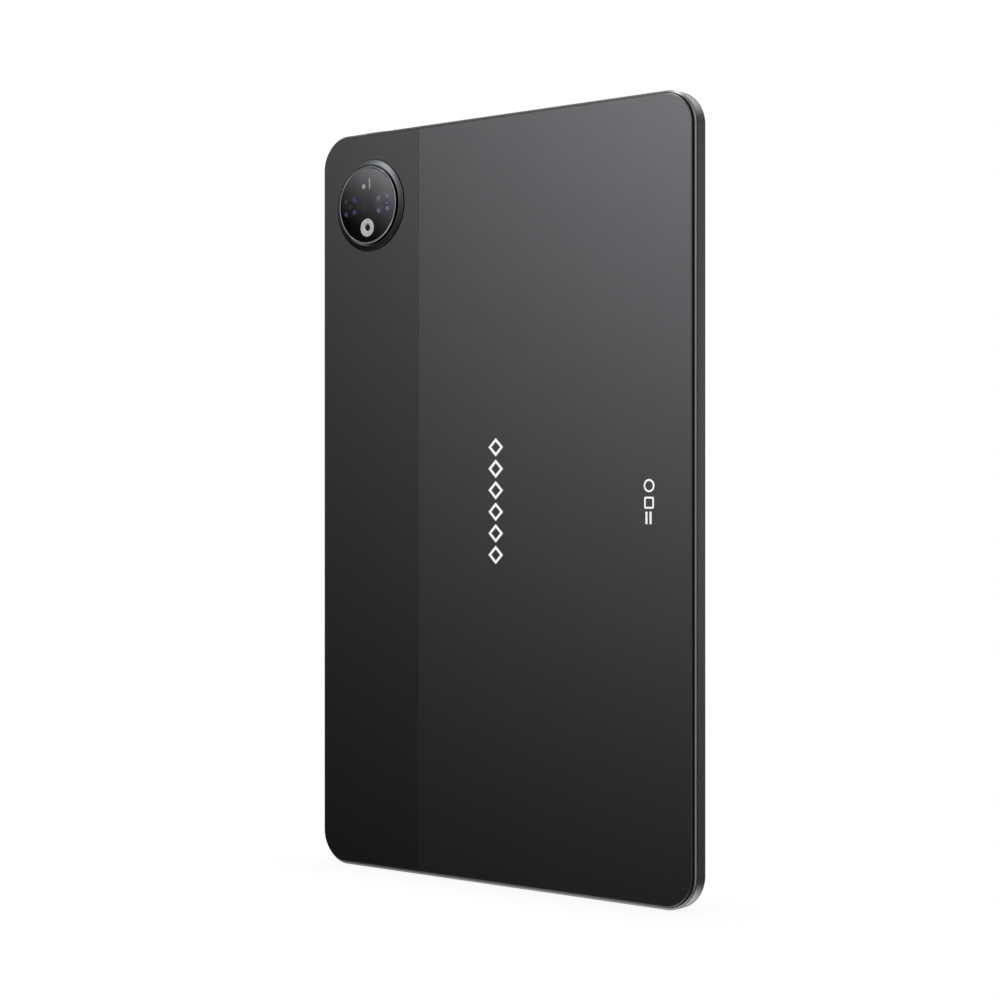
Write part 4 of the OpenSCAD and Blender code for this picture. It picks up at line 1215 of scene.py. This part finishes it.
def floor_finish():
    """Pale matte floor, nearly white to the eye, softly shaded where the object stands on it."""
    material = bpy.data.materials.new("pale_floor")
    material.use_nodes = True
    tree = material.node_tree
    tree.nodes.clear()
    shade = add_node(tree, "ShaderNodeAmbientOcclusion", {"Distance": 0.03}, samples=8)
    level = add_node(tree, "ShaderNodeMapRange", {
        "Value": shade.outputs["AO"], "To Min": 0.88, "To Max": 1.0})
    glow = add_node(tree, "ShaderNodeEmission", {"Color": (1, 1, 1, 1), "Strength": level.outputs[0]})
    clear = add_node(tree, "ShaderNodeBsdfTransparent")
    seen = add_node(tree, "ShaderNodeLightPath")
    both = add_node(tree, "ShaderNodeMixShader", {
        0: seen.outputs["Is Camera Ray"], 1: clear.outputs[0], 2: glow.outputs[0]})
    add_node(tree, "ShaderNodeOutputMaterial", {"Surface": both.outputs[0]})
    return material


class TABLET_OT_stage(bpy.types.Operator):
    """Pale floor, soft studio light and the camera"""
    bl_idname = "tablet.stage"
    bl_label = "Stage"

    def execute(self, context):
        scene = context.scene
        stage = settings()[2]
        points = [(x, y, 0) for x, y in disc(stage.floor_size / MM, 64)]
        floor = new_piece("floor", points, [tuple(range(len(points)))], floor_finish())
        scene.world = studio_world(stage)
        scene.view_settings.view_transform = "Standard"
        lamp = bpy.data.lights.new("soft_box", "AREA")
        lamp.shape, lamp.size, lamp.energy = "DISK", LAMP_SIZE, stage.lamp
        light = bpy.data.objects.new("soft_box", lamp)
        scene.collection.objects.link(light)
        light.location = LAMP_PLACE
        light.visible_glossy = False
        aim = Vector((0, 0, MID_Z * MM)) - light.location
        light.rotation_euler = aim.to_track_quat("-Z", "Y").to_euler()
        data = bpy.data.cameras.new("camera")
        data.lens = CAMERA_LENS
        data.clip_start, data.clip_end = 0.01, 20
        camera = bpy.data.objects.new("camera", data)
        scene.collection.objects.link(camera)
        camera.location = CAMERA_PLACE
        camera.rotation_euler = (math.pi / 2, 0, math.radians(180 + CAMERA_TURN))
        scene.camera = camera
        return {"FINISHED"}


class TABLET_PT_panel(bpy.types.Panel):
    """Sidebar panel with the sizes, colours and builders"""
    bl_label = "Tablet"
    bl_idname = "TABLET_PT_panel"
    bl_space_type = "VIEW_3D"
    bl_region_type = "UI"
    bl_category = "Tablet"

    def draw(self, context):
        for group in settings():
            box = self.layout.box()
            for key in group.__annotations__:
                box.prop(group, key)
        for builder in BUILDERS:
            self.layout.operator(builder.bl_idname)


GROUPS = (("tablet_case", TabletCase), ("tablet_finish", TabletFinish), ("tablet_stage", TabletStage))
BUILDERS = (
    TABLET_OT_case_frame, TABLET_OT_rear_skin, TABLET_OT_front_glass, TABLET_OT_camera_island,
    TABLET_OT_flash, TABLET_OT_ports, TABLET_OT_controls, TABLET_OT_marks,
    TABLET_OT_inner_parts, TABLET_OT_stage)


def register():
    for key, group in GROUPS:
        bpy.utils.register_class(group)
        setattr(bpy.types.Scene, key, PointerProperty(type=group))
    for item in (*BUILDERS, TABLET_PT_panel):
        bpy.utils.register_class(item)


def unregister():
    for item in reversed((*BUILDERS, TABLET_PT_panel)):
        bpy.utils.unregister_class(item)
    for key, group in reversed(GROUPS):
        delattr(bpy.types.Scene, key)
        bpy.utils.unregister_class(group)


def main():
    register()
    for builder in BUILDERS:
        name = builder.bl_idname.split(".")[1]
        getattr(bpy.ops.tablet, name)()


if __name__ == "__main__":
    main()
